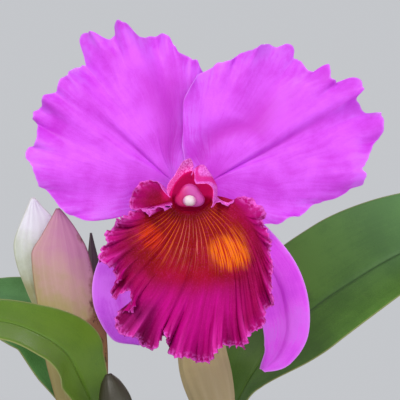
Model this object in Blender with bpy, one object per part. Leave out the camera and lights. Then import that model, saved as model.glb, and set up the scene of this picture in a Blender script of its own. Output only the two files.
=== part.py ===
"""A cattleya orchid in bloom, growing in bark in a plain clay pot.

Lengths in the tables are millimetres, angles are degrees. A mesh is turned
into metres as it is made. The bloom faces -Y, +X is its right as seen from
the front and the pot stands on Z = 0, centred on the origin.
"""
import math
import random

import bmesh
import bpy
import numpy as np
from mathutils import Matrix, Vector

MM = 0.001
GAP = 0.3                      # air between two pieces that touch
BLADE = 0.8                    # thickness of petals, sepals and lip

# Pot and bark
POT_HEIGHT = 135.0
POT_BASE_RADIUS = 52.0
POT_RIM_RADIUS = 78.0
POT_WALL = 6.0
POT_FLOOR = 8.0
POT_COLLAR_HEIGHT = 26.0
POT_COLLAR_OUT = 4.0
POT_SEGMENTS = 36
DRAIN_RADIUS = 6.0
DRAIN_RING_RADIUS = 30.0
DRAIN_COUNT = 3
BARK_TOP = 118.0
BARK_DOME = 3.0
CHIP_COUNT = 30

# Growths: feet on the rhizome and tops that carry leaves, sheaths and bloom
RHIZOME_RADIUS = 5.0
RHIZOME_HEIGHT = BARK_TOP + 3.5
FOOT_HEIGHT = RHIZOME_HEIGHT + RHIZOME_RADIUS + GAP
LEAD_FOOT = (15.0, -3.0)
LEAD_TOP = (15.0, 4.0, 258.0)
LEFT_FOOT = (-16.0, -18.0)
LEFT_TOP = (-40.0, -30.0, 262.0)
MIDDLE_FOOT = (-28.0, 3.0)
MIDDLE_TOP = (-51.0, -4.0, 264.0)
OLD_FOOT = (-31.0, 27.0)
OLD_TOP = (-47.0, 37.0, 256.0)
NEW_FOOT = (3.0, -35.0)
NEW_TIP = (-35.5, -50.0, 294.0)
BULB_RADIUS = 9.6

# Bloom
BLOOM = (0.0, -30.0, 372.0)    # where petals, sepals, lip and stalk meet
KNOB_RADIUS = 4.6              # rounded end of the stalk, which carries them
PETAL_START = KNOB_RADIUS + GAP + 0.2
MOUTH_FORWARD = 25.0           # of the tube that the lip makes round the column


# Numbers between hand-chosen ones

def hermite(xs, values, slopes, x):
    """Smooth value at x between the rows on each side of it."""
    x = min(max(x, xs[0]), xs[-1])
    i = min(int(np.searchsorted(xs, x, side="right")) - 1, len(xs) - 2)
    span = xs[i + 1] - xs[i]
    u = (x - xs[i]) / span
    start = (2 * u ** 3 - 3 * u ** 2 + 1) * values[i] + (u ** 3 - 2 * u ** 2 + u) * span * slopes[i]
    end = (3 * u ** 2 - 2 * u ** 3) * values[i + 1] + (u ** 3 - u ** 2) * span * slopes[i + 1]
    return start + end


def curve(table, x):
    """Value at x through rows (x, value, ...), which never runs past a row's value."""
    rows = np.array(table, dtype=float)
    xs = rows[:, 0]
    values = rows[:, 1:]
    rise = np.diff(values, axis=0) / np.diff(xs)[:, None]
    before, after = rise[:-1], rise[1:]
    same_way = before * after > 0
    total = np.where(same_way, before + after, 1.0)
    inner = np.where(same_way, 2 * before * after / total, 0.0)
    slopes = np.vstack([rise[:1], inner, rise[-1:]])
    result = hermite(xs, values, slopes, x)
    return result if len(result) > 1 else float(result[0])


def route(points, t):
    """Point at t, from 0 to 1, on a smooth path through points at even steps."""
    values = np.array(points, dtype=float)
    xs = np.linspace(0, 1, len(values))
    return hermite(xs, values, np.gradient(values, xs, axis=0), t)


def smooth(u):
    """Ease from 0 to 1."""
    u = min(max(u, 0.0), 1.0)
    return u * u * (3 - 2 * u)


def ripple(angle, per_turn, seed):
    """Uneven waves between about -1 and 1 along an angle in degrees."""
    rng = random.Random(seed)
    total = 0.0
    for _ in range(4):
        pace = per_turn * (1 + rng.uniform(-0.35, 0.35))
        total += math.sin(math.radians(angle) * pace + rng.uniform(0, math.tau))
    return total / 2.2


# Meshes and materials

def material(name, colour, roughness=0.5):
    """Principled material from an sRGB colour of 0 to 255."""
    made = bpy.data.materials.new(name)
    made.use_nodes = True
    linear = [(c / 255) ** 2.2 for c in colour]
    shader = made.node_tree.nodes["Principled BSDF"]
    shader.inputs["Base Color"].default_value = (*linear, 1)
    shader.inputs["Roughness"].default_value = roughness
    shader.inputs["Metallic"].default_value = 0.0
    made.diffuse_color = (*linear, 1)
    return made


def solid(name, points, faces, finish):
    """Object from points in millimetres, with its faces turned outwards."""
    mesh = bpy.data.meshes.new(name)
    mesh.from_pydata([Vector(p) * MM for p in points], [], faces)
    shape = bmesh.new()
    shape.from_mesh(mesh)
    bmesh.ops.recalc_face_normals(shape, faces=shape.faces)
    shape.to_mesh(mesh)
    shape.free()
    mesh.shade_smooth()
    piece = bpy.data.objects.new(name, mesh)
    bpy.context.scene.collection.objects.link(piece)
    mesh.materials.append(finish)
    return piece


def blade(name, grid, thickness, finish):
    """Thin closed solid about a grid of points, cut alike on both faces.

    thickness is one number, or a function of the row and column.
    """
    sheet = np.array(grid, dtype=float)
    rows, columns = sheet.shape[:2]
    down = np.gradient(sheet, axis=0)
    across = np.gradient(sheet, axis=1)
    normal = np.cross(down, across)
    normal /= np.linalg.norm(normal, axis=2)[:, :, None]
    half = np.full((rows, columns), 0.5)
    for i in range(rows):
        for j in range(columns):
            half[i, j] *= thickness(i, j) if callable(thickness) else thickness
    front = sheet + normal * half[:, :, None]
    back = sheet - normal * half[:, :, None]
    points = [tuple(p) for p in front.reshape(-1, 3)] + [tuple(p) for p in back.reshape(-1, 3)]
    other = rows * columns
    faces = []
    for i in range(rows - 1):
        for j in range(columns - 1):
            a = i * columns + j
            b = a + 1
            c = b + columns
            d = a + columns
            faces += [(a, b, c), (a, c, d)]
            faces += [(other + c, other + b, other + a), (other + d, other + c, other + a)]
    rim = [j for j in range(columns)]
    rim += [i * columns + columns - 1 for i in range(1, rows)]
    rim += [(rows - 1) * columns + j for j in range(columns - 2, -1, -1)]
    rim += [i * columns for i in range(rows - 2, 0, -1)]
    for a, b in zip(rim, rim[1:] + rim[:1]):
        faces += [(b, a, other + a), (b, other + a, other + b)]
    return solid(name, points, faces, finish)


def heading(path, t):
    """Direction of a path at t."""
    ahead = route(path, min(t + 0.002, 1.0)) - route(path, max(t - 0.002, 0.0))
    return ahead / np.linalg.norm(ahead)


def frames(path, places):
    """Centre, direction and two sideways directions at places along a path."""
    side = np.cross(heading(path, places[0]), (0.0, 1.0, 0.0))
    result = []
    for t in places:
        ahead = heading(path, t)
        side = side - ahead * np.dot(side, ahead)
        side /= np.linalg.norm(side)
        result.append((route(path, t), ahead, side, np.cross(ahead, side)))
    return result


def steps(count, first=0.0, last=1.0):
    """Even places from first to last."""
    return [first + (last - first) * i / count for i in range(count + 1)]


def stem(name, path, radii, places, sides, finish, squash=1.0, flutes=0, flute_depth=0.0,
         flute_turn=0.0):
    """Round or flattened closed stem along a path, from rows of (place, radius)."""
    points = []
    rings = len(places) - 1
    for t, (centre, ahead, side, other) in zip(places, frames(path, places)):
        radius = curve(radii, t)
        for k in range(sides):
            turn = 2 * math.pi * k / sides
            fluted = 1 + flute_depth * math.cos(flutes * (turn - math.radians(flute_turn)))
            out = side * math.cos(turn) + other * math.sin(turn) * squash
            points.append(centre + out * radius * fluted)
    faces = []
    for i in range(rings):
        for k in range(sides):
            n = (k + 1) % sides
            a, b = i * sides + k, i * sides + n
            faces.append((a, b, b + sides, a + sides))
    faces.append(tuple(reversed(range(sides))))
    faces.append(tuple(rings * sides + k for k in range(sides)))
    return solid(name, points, faces, finish)


def boolean(piece, operation, tool=None, collection=None, solver="EXACT"):
    """Apply a Boolean and remove what it cut or joined with."""
    cut = piece.modifiers.new(operation.title(), "BOOLEAN")
    cut.operation = operation
    cut.solver = solver
    if collection:
        cut.operand_type = "COLLECTION"
        cut.collection = collection
        tools = list(collection.objects)
    else:
        cut.object = tool
        tools = [tool]
    graph = bpy.context.evaluated_depsgraph_get()
    result = bpy.data.meshes.new_from_object(piece.evaluated_get(graph))
    piece.modifiers.clear()
    piece.data = result
    for used in tools:
        bpy.data.objects.remove(used)
    if collection:
        bpy.data.collections.remove(collection)


def keep_largest(piece):
    """Drop loose scraps and sealed hollows, and keep the one main body."""
    shape = bmesh.new()
    shape.from_mesh(piece.data)
    bodies = []
    left = set(shape.verts)
    while left:
        body = {left.pop()}
        edge = list(body)
        while edge:
            near = {e.other_vert(v) for v in edge for e in v.link_edges} - body
            body |= near
            edge = list(near)
        left -= body
        bodies.append(body)
    bodies.sort(key=len)
    for body in bodies[:-1]:
        bmesh.ops.delete(shape, geom=list(body), context="VERTS")
    shape.to_mesh(piece.data)
    shape.free()


# Bloom

def bloom_point(angle, radius, forward):
    """Place from an angle clockwise from up, seen from the front, and a depth."""
    turn = math.radians(angle)
    x = BLOOM[0] + radius * math.sin(turn)
    z = BLOOM[2] + radius * math.cos(turn)
    return (x, BLOOM[1] - forward, z)


def fan(name, outline, rows, columns, claw, forward, finish):
    """Petal whose rays leave the stalk and reach an outline of (angle, radius)."""
    first, last = outline[0][0], outline[-1][0]
    middle = (first + last) / 2
    grid = []
    for i in range(rows + 1):
        w = i / rows
        spread = claw + (1 - claw) * smooth(w / 0.45)
        row = []
        for j in range(columns + 1):
            angle = first + (last - first) * j / columns
            reach = curve(outline, angle)
            radius = PETAL_START + (reach - PETAL_START) * w
            seen = middle + (angle - middle) * spread
            row.append(bloom_point(seen, radius, forward(w, angle, reach)))
        grid.append(row)
    return blade(name, grid, BLADE, finish)


LEFT_PETAL = [
    (-112, 19), (-108, 30), (-105, 43), (-99, 54), (-91, 62), (-84, 69), (-75, 76), (-70, 73),
    (-62, 79), (-54, 77), (-47, 77), (-41, 75), (-37, 79), (-33, 87), (-29, 83), (-25, 78),
    (-21, 82), (-16, 74), (-9, 73), (-4, 66), (3, 60), (7, 53), (10, 40)]
RIGHT_PETAL = [
    (-9, 22), (-6, 30), (-3, 42), (3, 52), (10, 58), (17, 64), (22, 70), (28, 76), (34, 81),
    (38, 77), (43, 77), (47, 84), (51, 82), (56, 91), (60, 88), (64, 87), (68, 94), (73, 88),
    (79, 80), (85, 78), (91, 64), (96, 55), (105, 44), (112, 35), (119, 24)]


def petal_forward(w, angle, reach, midrib, phase, seed):
    """Depth of a petal: it comes forward, then bends back, and its edge is ruffled."""
    size = (reach / 85) ** 2
    out = w * reach / 85
    arch = 12 * out - 16 * out * out
    groove = -1.8 * math.exp(-((angle - midrib) / 5) ** 2) * math.sin(math.pi * w)
    wave = 4.4 * size * w ** 3.5 * math.sin(math.radians(angle * 13) + phase)
    swell = 1.6 * w * w * size * math.sin(math.radians(angle * 5) + phase)
    ruffle = 2.8 * size * w ** 7 * ripple(angle, 25, seed)
    return arch + groove + wave + swell + ruffle


def left_petal_forward(w, angle, reach):
    tuck = -4.5 * min(w * reach / 55, 1.0) * smooth((angle + 22) / 26)
    return petal_forward(w, angle, reach, -52, 0.6, 5) + tuck


def right_petal_forward(w, angle, reach):
    lift = 4.5 * min(w * reach / 55, 1.0) * smooth((24 - angle) / 26)
    return petal_forward(w, angle, reach, 62, 2.4, 9) + lift


def strap(name, midrib, facing, left, right, rows, columns, thickness, finish, fold=None, wave=None):
    """Long blade along a midrib, with a half-width on each side of it.

    facing is the way that its upper face looks, fold is how far its edges rise
    out of that face and wave is a function of the place along and across it.
    """
    grid = []
    for i in range(rows + 1):
        t = i / rows
        centre = route(midrib, t)
        ahead = heading(midrib, t)
        face = route(facing, t)
        face = face - ahead * np.dot(face, ahead)
        face /= np.linalg.norm(face)
        side = np.cross(ahead, face)
        row = []
        for j in range(columns + 1):
            s = 2 * j / columns - 1
            width = curve(left, t) if s < 0 else curve(right, t)
            rise = curve(fold, t) * abs(s) ** 1.5 if fold else 0.0
            if wave:
                rise += wave(t, s)
            row.append(centre + side * width * s + face * rise)
        grid.append(row)

    def thick(i, j):
        s = abs(2 * j / columns - 1)
        heavy, light = thickness
        return heavy + (light - heavy) * s

    return blade(name, grid, thick, finish)


def sepal(name, points, half_width, finish, phase):
    """Narrow blade of the bloom from (angle, radius, forward) points."""
    midrib = [bloom_point(*point) for point in points]

    def wave(t, s):
        return 1.1 * s * abs(s) * math.sin(9 * t + phase) * smooth(t * 2)

    return strap(name, midrib, [(0, -1, 0), (0, -1, 0)], half_width, half_width, 13, 6,
                 (1.1, BLADE), finish, [(0, 0.0), (0.3, 1.5), (0.7, -1.0), (1, -0.5)], wave)


# Rows round the lip, from the seam over the column down the left side, round
# the bottom and up the right side: angle at the tube's mouth, then angle,
# radius and depth of the margin.
LIP_MARGIN = [
    (-6, -8, 12.5, 26), (0, -1, 15.6, 28), (10, 8, 15.8, 29), (25, 24, 14.4, 30),
    (45, 50, 11.6, 31), (58, 72, 9.9, 32), (66, 90, 8.6, 32.5), (73, 84, 12.5, 29),
    (80, 76, 17.5, 27), (87, 73, 22, 25), (93, 79, 25, 23), (98, 89, 27, 22), (103, 99, 27, 22),
    (108, 107, 20, 24), (112, 110, 14, 29), (116, 108, 13, 34), (120, 105, 19, 35.5),
    (124, 107, 27, 34), (128, 112, 36, 31), (132, 117, 42, 30), (136, 122, 46.5, 29),
    (138.5, 126, 48, 29), (140.5, 128.8, 45, 31), (142.5, 130, 39.5, 35), (144.5, 131.5, 41, 35),
    (146.5, 136, 47, 31), (148, 140.5, 52, 30), (149.5, 143, 55.5, 29.5), (151, 146, 53, 31),
    (152.5, 149, 50, 33.5), (154, 150.4, 52, 33), (155.5, 150.8, 56, 31), (157.5, 151.2, 61, 30),
    (160, 153, 65.5, 29.5), (163, 158, 66, 30), (166, 163, 67.5, 30), (168.5, 165.5, 69, 30),
    (170.5, 167.5, 66, 31), (172.5, 168.7, 61, 32), (174.5, 169.9, 58.8, 32.5),
    (176, 171, 64, 32), (178, 172.6, 68.5, 31), (183, 180, 71, 29), (188, 185.5, 72, 28),
    (194, 191, 68, 31), (200, 198, 66, 33), (206, 204, 67.5, 30), (212, 211, 63, 29),
    (219, 219, 57, 30), (225, 227, 50, 28), (230, 231.4, 45, 27), (233, 232, 38.5, 30),
    (236, 233, 36, 33.5), (239, 239, 39, 30), (245, 248, 38.5, 25), (254, 258, 34, 24),
    (262, 266, 30.5, 22), (269, 270, 24, 24), (275, 261, 20, 26), (281, 256, 15.5, 29),
    (288, 240, 10.6, 32), (295, 258, 10.6, 33), (302, 275, 10.4, 33.5), (312, 298, 9.6, 33.5),
    (326, 326, 7.6, 32), (338, 340, 6.4, 30.5), (347, 348, 6.6, 29), (354, 353, 7.2, 26.5)]
# Radius of the tube's mouth at angles round it
LIP_MOUTH = [
    (-6, 10.6), (20, 10.4), (45, 9.4), (70, 8.5), (100, 8.6), (130, 8.4), (180, 7.5), (235, 9.0),
    (258, 11.2), (285, 12.4), (305, 12.8), (322, 13.4), (335, 14.4), (345, 12.6), (354, 8.6)]
# Strength of the ruffled edge at angles round the lip
LIP_FRILL = [
    (-6, 0), (76, 0), (90, 0.12), (108, 0.15), (118, 0.6), (128, 1.0), (160, 0.9), (200, 1.0),
    (216, 1.0), (228, 0.6), (250, 0.5), (266, 0.45), (276, 0.2), (284, 0), (354, 0)]
LIP_TUBE_ROWS = 2
LIP_BLADE_ROWS = 6
LIP_SPACING = 3.5              # most degrees between two rays of the lip


def lip_point(step, w):
    """Place on the lip for its angle at the mouth and how far out it is."""
    mouth = curve(LIP_MOUTH, step)
    if w <= 0:
        u = 1 + w
        radius = curve([(0, 4.7), (0.4, 7.0), (1, 7.0)], u) + (mouth - 7.0) * u
        forward = curve([(0, 2.5), (0.35, 8.0), (1, MOUTH_FORWARD)], u)
        return bloom_point(-step, radius, forward)
    turned, reach, depth = curve(LIP_MARGIN, step)
    angle = step + (turned - step) * smooth(w)
    radius = mouth + (reach - mouth) * w
    if reach < mouth + 1:
        radius += 1.8 * math.sin(math.pi * w)
    size = min(max((reach - 16) / 50, 0.0), 1.0)
    forward = MOUTH_FORWARD + (depth - MOUTH_FORWARD) * w + 7 * size * math.sin(math.pi * w)
    frill = curve(LIP_FRILL, step) * w ** 3.5
    forward += 3.2 * frill * math.sin(math.radians(step * 20))
    radius += 1.7 * frill * math.cos(math.radians(step * 20))
    forward += 1.2 * size * math.sin(math.pi * w) * math.sin(math.radians(step * 12))
    return bloom_point(-angle, radius, forward)


def lip():
    places = steps(LIP_TUBE_ROWS, -1.0, 0.0) + steps(LIP_BLADE_ROWS)[1:]
    rays = []
    for row, following in zip(LIP_MARGIN, LIP_MARGIN[1:]):
        parts = max(1, round((following[0] - row[0]) / LIP_SPACING))
        rays += steps(parts, row[0], following[0])[:-1]
    rays.append(LIP_MARGIN[-1][0])
    grid = [[lip_point(step, w) for step in rays] for w in places]
    return blade("lip", grid, BLADE, material("lip crimson", (172, 8, 80), 0.45))


def bloom():
    magenta = material("petal magenta", (222, 74, 240), 0.5)
    fan("petal_left", LEFT_PETAL, 7, 40, 0.3, left_petal_forward, magenta)
    magenta = material("petal magenta right", (228, 82, 244), 0.5)
    fan("petal_right", RIGHT_PETAL, 7, 40, 0.3, right_petal_forward, magenta)
    lip()
    sepal("sepal_dorsal", [(-8, 4.4, -3), (-10, 25, -6), (-11, 48, -12), (-11, 67, -19)],
          [(0, 2.5), (0.3, 12), (0.6, 14.5), (0.85, 9), (1, 0.8)],
          material("dorsal sepal magenta", (214, 78, 236)), 0.0)
    sepal("sepal_left", [(-130, 4.4, -3), (-132, 30, -7), (-141, 50, -8), (-152, 62, -8),
                         (-162, 71, -10)],
          [(0, 2.5), (0.3, 11), (0.6, 12.5), (0.85, 10), (1, 1.5)],
          material("left sepal magenta", (198, 84, 228)), 1.2)
    sepal("sepal_right", [(126, 4.4, -3), (128, 28, -7), (134, 53, -9), (143, 72, -8),
                          (150.5, 81.5, -6), (157.5, 85, -2)],
          [(0, 2.5), (0.24, 11), (0.48, 11.5), (0.64, 10.5), (0.8, 7.5), (0.92, 4), (1, 1.2)],
          material("right sepal magenta", (206, 75, 228)), 2.0)
    column()
    stalk()


def column():
    """Column in the lip's throat and the anther cap on its tip."""
    start = KNOB_RADIUS + GAP
    path = [bloom_point(0, 0.0, start), bloom_point(0, 0.6, 13), bloom_point(180, 0.3, 21),
            bloom_point(180, 1.2, 27)]
    radii = [(0, 2.6), (0.3, 3.4), (0.6, 4.9), (0.85, 6.3), (1, 4.8)]
    stem("column", path, radii, steps(8), 12,
         material("column pink", (214, 120, 186), 0.4), 0.8, 3, 0.13, 270)
    tip = [bloom_point(180, 2.3, 27 + GAP), bloom_point(180, 2.6, 28.5), bloom_point(180, 3.1, 30)]
    stem("anther_cap", tip, [(0, 2.6), (0.4, 2.9), (0.7, 2.3), (1, 0.9)], steps(5), 10,
         material("anther cream", (238, 226, 220), 0.4), 0.8)


def stalk_path():
    """Route of the flower's stalk from the lead growth's top to the back of the bloom."""
    x, y, z = LEAD_TOP
    return [(x - 3, y - 1, z + GAP), (x - 3, y - 1, z + 12), (x - 9, y - 1, z + 38),
            (4, -2, z + 68), (2, -5, z + 94),
            (0, -9, BLOOM[2] - 5), (0, -18, BLOOM[2]), (0, BLOOM[1] + 5, BLOOM[2]),
            (0, BLOOM[1], BLOOM[2]), (0, BLOOM[1] - KNOB_RADIUS, BLOOM[2])]


def stalk():
    """Flower's stalk, with the swollen ovary and the rounded end that carries the bloom."""
    radii = [(0, 2.4), (0.3, 2.5), (0.45, 2.9), (0.6, 3.3), (0.75, 3.2), (0.8, 3.3), (0.84, 4.1),
             (0.889, KNOB_RADIUS), (0.93, 4.3), (0.97, 3.1), (1, 0.7)]
    places = steps(9, 0, 0.7) + [0.76, 0.8, 0.84, 0.889, 0.93, 0.97, 1.0]
    stem("flower_stalk", stalk_path(), radii, places, 12, material("stalk green", (120, 150, 84)))


# Leaves, sheaths and growths

def leaves():
    x, y, z = LEAD_TOP
    strap("leaf_right",
          [(x + 5.4, y + 2, z + GAP), (x + 5.6, y + 3, z + 9), (26, 14, 281), (37, 20, 297),
           (57, 29, 316), (80, 38, 331), (104, 45, 344), (134, 52, 354), (166, 58, 358),
           (196, 62, 352)],
          [(-1.0, -0.2, 0.3), (-0.5, -0.8, 0.3), (-0.25, -0.9, 0.35), (-0.25, -0.85, 0.5)],
          [(0, 3.4), (0.12, 6), (0.25, 15), (0.36, 28), (0.46, 35), (0.56, 35), (0.67, 31), (0.8, 23),
           (0.93, 12), (1, 1.5)],
          [(0, 3.4), (0.12, 6), (0.25, 14), (0.42, 24), (0.58, 21), (0.8, 15), (0.93, 9), (1, 1.5)],
          18, 6, (2.2, 1.0), material("right leaf green", (80, 120, 50), 0.35),
          [(0, 0.8), (0.12, 1.5), (0.25, 4), (0.5, 4), (1, 1)])
    x, y, z = LEFT_TOP
    strap("leaf_left",
          [(x, y, z + GAP), (x, y, z + 8), (-45, -37, 282), (-49.5, -43, 293), (-54, -49, 302.5),
           (-64, -56, 310.5), (-80, -62, 317), (-106, -67, 318), (-140, -71, 309), (-172, -74, 292)],
          [(0.75, -0.6, 0.2), (0.5, -0.75, 0.4), (0.2, -0.55, 0.8), (0, -0.4, 0.9)],
          [(0, 3.6), (0.15, 8), (0.3, 13), (0.44, 15.5), (0.55, 13.5), (0.8, 13.5), (0.93, 9), (1, 1.5)],
          [(0, 3.6), (0.15, 7), (0.3, 14), (0.42, 19), (0.52, 17), (0.66, 13.5), (0.8, 13), (0.93, 9),
           (1, 1.5)],
          17, 6, (2.2, 1.0), material("left leaf green", (92, 122, 54), 0.35),
          [(0, 2.5), (0.2, 5), (0.5, 3), (1, 1)])
    x, y, z = MIDDLE_TOP
    strap("leaf_far_left",
          [(x - 1, y + 4, z + GAP), (x - 1, y + 5, z + 9), (-58, 9, 288), (-66, 15, 307),
           (-78, 20, 315), (-93, 24, 319), (-121, 28, 319), (-156, 30, 306), (-186, 31, 286)],
          [(0.1, -1, 0.1), (0.1, -0.9, 0.4), (0.05, -0.5, 0.85), (0, -0.3, 0.9)],
          [(0, 3.2), (0.15, 8), (0.35, 18), (0.55, 21), (0.8, 16), (0.93, 9), (1, 1.5)],
          [(0, 3.2), (0.15, 8), (0.35, 18), (0.55, 21), (0.8, 16), (0.93, 9), (1, 1.5)],
          15, 6, (2.2, 1.0), material("far left leaf green", (70, 104, 60), 0.35),
          [(0, 2), (0.2, 4), (0.5, 3), (1, 1)])


def sheaths():
    """Flat papery sheaths that stand on the tops of the growths."""
    x, y, z = MIDDLE_TOP
    strap("sheath_pink",
          [(x + 1, y - 4.2, z + GAP), (x + 1, y - 4.2, z + 9), (-51, -14, 292), (-53, -17, 314),
           (-57.5, -18, 338), (-60, -18, 366)],
          [(0.1, -1, 0), (0.1, -1, 0.1)],
          [(0, 4), (0.3, 12), (0.55, 15), (0.72, 14.2), (0.86, 13.6), (0.92, 8.2), (0.97, 3.5),
           (1, 0.8)],
          [(0, 4), (0.3, 13), (0.55, 14.5), (0.79, 13.3), (0.86, 11.9), (0.92, 8.3), (0.97, 4),
           (1, 0.8)],
          12, 6, (0.9, 0.7), material("sheath pink", (190, 138, 150), 0.6),
          [(0, -0.5), (0.3, -4), (0.7, -4), (1, -0.5)])
    strap("sheath_white",
          [(x - 2, y - 0.8, z + GAP), (x - 2, y - 0.8, z + 9), (-58, -6, 294), (-65, -9, 316),
           (-70, -10, 340), (-72, -10, 371)],
          [(0.2, -1, 0), (0.2, -1, 0.1)],
          [(0, 3.5), (0.4, 5), (0.62, 4.8), (0.72, 6.8), (0.86, 10), (0.945, 5.1), (1, 0.8)],
          [(0, 3.5), (0.3, 9), (0.6, 12), (0.8, 12), (0.9, 10.5), (0.94, 8.5), (0.97, 4.4), (1, 0.8)],
          10, 6, (0.9, 0.7), material("sheath white", (228, 228, 234), 0.6),
          [(0, -0.5), (0.5, -2.5), (1, -0.5)])
    x, y, z = OLD_TOP
    strap("sheath_grey",
          [(x, y, z + GAP), (x, y, z + 9), (-47, 35, 292), (-46, 33, 322), (-48, 32, 354)],
          [(0.1, -1, 0), (0.1, -1, 0)],
          [(0, 3.5), (0.4, 5), (0.8, 3.8), (1, 0.7)],
          [(0, 3.5), (0.4, 5), (0.8, 3.8), (1, 0.7)],
          9, 4, (0.9, 0.7), material("sheath grey brown", (92, 84, 84), 0.8),
          [(0, -0.5), (0.4, -3), (1, -1)])
    rolled("sheath_cream", stalk_path(), steps(7, 0.0, 0.3),
           [(0, 4.2), (0.09, 7.5), (0.2, 11.5), (0.3, 9)],
           [(0, 3.8), (0.1, 4.8), (0.21, 5.5), (0.3, 4.5)],
           340, 16, 8, material("sheath cream", (192, 178, 130), 0.6))


def rolled(name, path, places, half_width, half_depth, sweep, columns, slant, finish):
    """Sheet rolled round part of a path, open at the back and cut aslant at the top."""
    grid = []
    for t, (centre, ahead, side, other) in zip(places, frames(path, places)):
        row = []
        for j in range(columns + 1):
            turn = math.radians(sweep * (j / columns - 0.5))
            flat = side * math.sin(turn) * curve(half_width, t)
            deep = other * math.cos(turn) * curve(half_depth, t)
            rise = slant * (t / places[-1]) ** 3 * math.cos(turn)
            row.append(centre + flat + deep + ahead * rise)
        grid.append(row)
    return blade(name, grid, 0.7, finish)


BULB_RADII = [(0, 3.6), (0.1, 5.2), (0.22, 6.3), (0.35, 7.5), (0.48, 9.0), (0.62, BULB_RADIUS),
              (0.75, BULB_RADIUS), (0.87, 8.2), (0.95, 6.6), (1, 6.2)]


def growth(name, foot, top, green, bract_share):
    """Pseudobulb on the rhizome with a papery bract round its foot."""
    foot_point = np.array((*foot, FOOT_HEIGHT))
    top_point = np.array(top)
    lean = np.array((*(top_point[:2] - foot_point[:2]), 0)) * 0.08
    middle = (foot_point + top_point) / 2 - lean
    up = np.array((0, 0, 9))
    path = [foot_point, foot_point + up * 2, middle, top_point - up * 2, top_point]
    stem("pseudobulb_" + name, path, BULB_RADII, steps(12), 12,
         material("bulb green " + name, green, 0.5), 0.86, 6, 0.03)
    places = steps(4, 0.04, bract_share)
    widths = [(t, curve(BULB_RADII, t) * 1.05 + GAP + 0.5) for t in places]
    rolled("bract_" + name, path, places, widths, widths, 330, 10, 7,
           material("bract tan " + name, (186, 164, 124), 0.8))


def growths():
    growth("lead", LEAD_FOOT, LEAD_TOP, (118, 142, 72), 0.5)
    growth("left", LEFT_FOOT, LEFT_TOP, (112, 134, 66), 0.45)
    growth("middle", MIDDLE_FOOT, MIDDLE_TOP, (116, 130, 70), 0.5)
    growth("old", OLD_FOOT, OLD_TOP, (128, 128, 78), 0.4)
    foot = (*NEW_FOOT, FOOT_HEIGHT)
    path = [foot, (-2, -41, 165), (-12, -47, 215), (-27, -50, 262), NEW_TIP]
    radii = [(0, 3.6), (0.15, 5.6), (0.3, 6.6), (0.45, 7.4), (0.6, 8.2), (0.78, 8.6), (0.9, 7.6), (1, 1.4)]
    stem("new_growth", path, radii, steps(13), 10,
         material("new growth purple green", (92, 74, 70), 0.5), 0.8)


# Rhizome, roots, bark and pot

ROOTS = [
    [(-26, 8), (-42, 14), (-53, 18)],
    [(-10, -18), (-20, -36), (-32, -44)],
    [(18, -2), (32, -14), (44, -28)],
    [(20, 2), (38, 8), (53, 12)],
    [(8, -10), (20, -32), (23, -50)],
    [(-28, 20), (-12, 36), (3, 52)],
    [(14, 4), (18, 28), (27, 45)],
]
ROOT_RADIUS = 1.9


def creeping(name, spread, finish):
    """Rhizome with its branch and roots as one solid, made wider by spread."""
    height = RHIZOME_HEIGHT
    main = [(-33, 38 + spread, height), (-31, 26, height), (-29, 10, height), (-26, -5, height),
            (-17, -16, height), (-3, -17, height), (8, -9, height), (17, -2, height),
            (27 + spread, 3, height)]
    thick = RHIZOME_RADIUS + spread
    tip = 2.5 + spread
    radii = [(0, tip), (0.1, thick), (0.9, thick), (1, tip)]
    body = stem(name, main, radii, steps(16), 8, finish)
    joined = bpy.data.collections.new("rhizome parts")
    branch = [(-2, -15, height), (2, -24, height), (3, -35, height), (3, -41 - spread, height)]
    parts = [stem("branch", branch, [(0, thick - 1), (0.7, thick), (1, tip)], steps(5), 8, finish)]
    slim = ROOT_RADIUS + spread
    for number, (start, bend, end) in enumerate(ROOTS):
        path = [(*start, height - 1), (*bend, BARK_TOP + 5), (*end, BARK_TOP - 2),
                (end[0] * 1.02, end[1] * 1.02, BARK_TOP - 16 - 2 * spread)]
        parts.append(stem("root", path, [(0, slim), (0.7, slim), (1, slim * 0.8)], steps(7), 6, finish))
    for part in parts:
        bpy.context.scene.collection.objects.unlink(part)
        joined.objects.link(part)
    boolean(body, "UNION", collection=joined, solver="MANIFOLD")
    keep_largest(body)
    body.data.shade_smooth()
    return body


def chip(place, rng):
    """One bark chip as a turned block with uneven corners."""
    size = Vector((rng.uniform(10, 18), rng.uniform(7, 12), rng.uniform(4, 7)))
    turn = Matrix.Rotation(rng.uniform(0, math.tau), 4, "Z")
    turn @= Matrix.Rotation(rng.uniform(-0.5, 0.5), 4, "X")
    turn @= Matrix.Rotation(rng.uniform(-0.4, 0.4), 4, "Y")
    points = []
    for x, y, z in ((-1, -1, -1), (1, -1, -1), (1, 1, -1), (-1, 1, -1),
                    (-1, -1, 1), (1, -1, 1), (1, 1, 1), (-1, 1, 1)):
        corner = Vector((x * size.x, y * size.y, z * size.z)) * 0.5 * rng.uniform(0.78, 1.05)
        points.append(Vector(place) + turn @ corner)
    faces = [(3, 2, 1, 0), (4, 5, 6, 7), (0, 1, 5, 4), (1, 2, 6, 5), (2, 3, 7, 6), (3, 0, 4, 7)]
    return points, faces


def pot_radius(height):
    """Outer radius of the pot below its collar."""
    rise = (POT_RIM_RADIUS - POT_COLLAR_OUT - POT_BASE_RADIUS) / POT_HEIGHT
    return POT_BASE_RADIUS + rise * height


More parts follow.
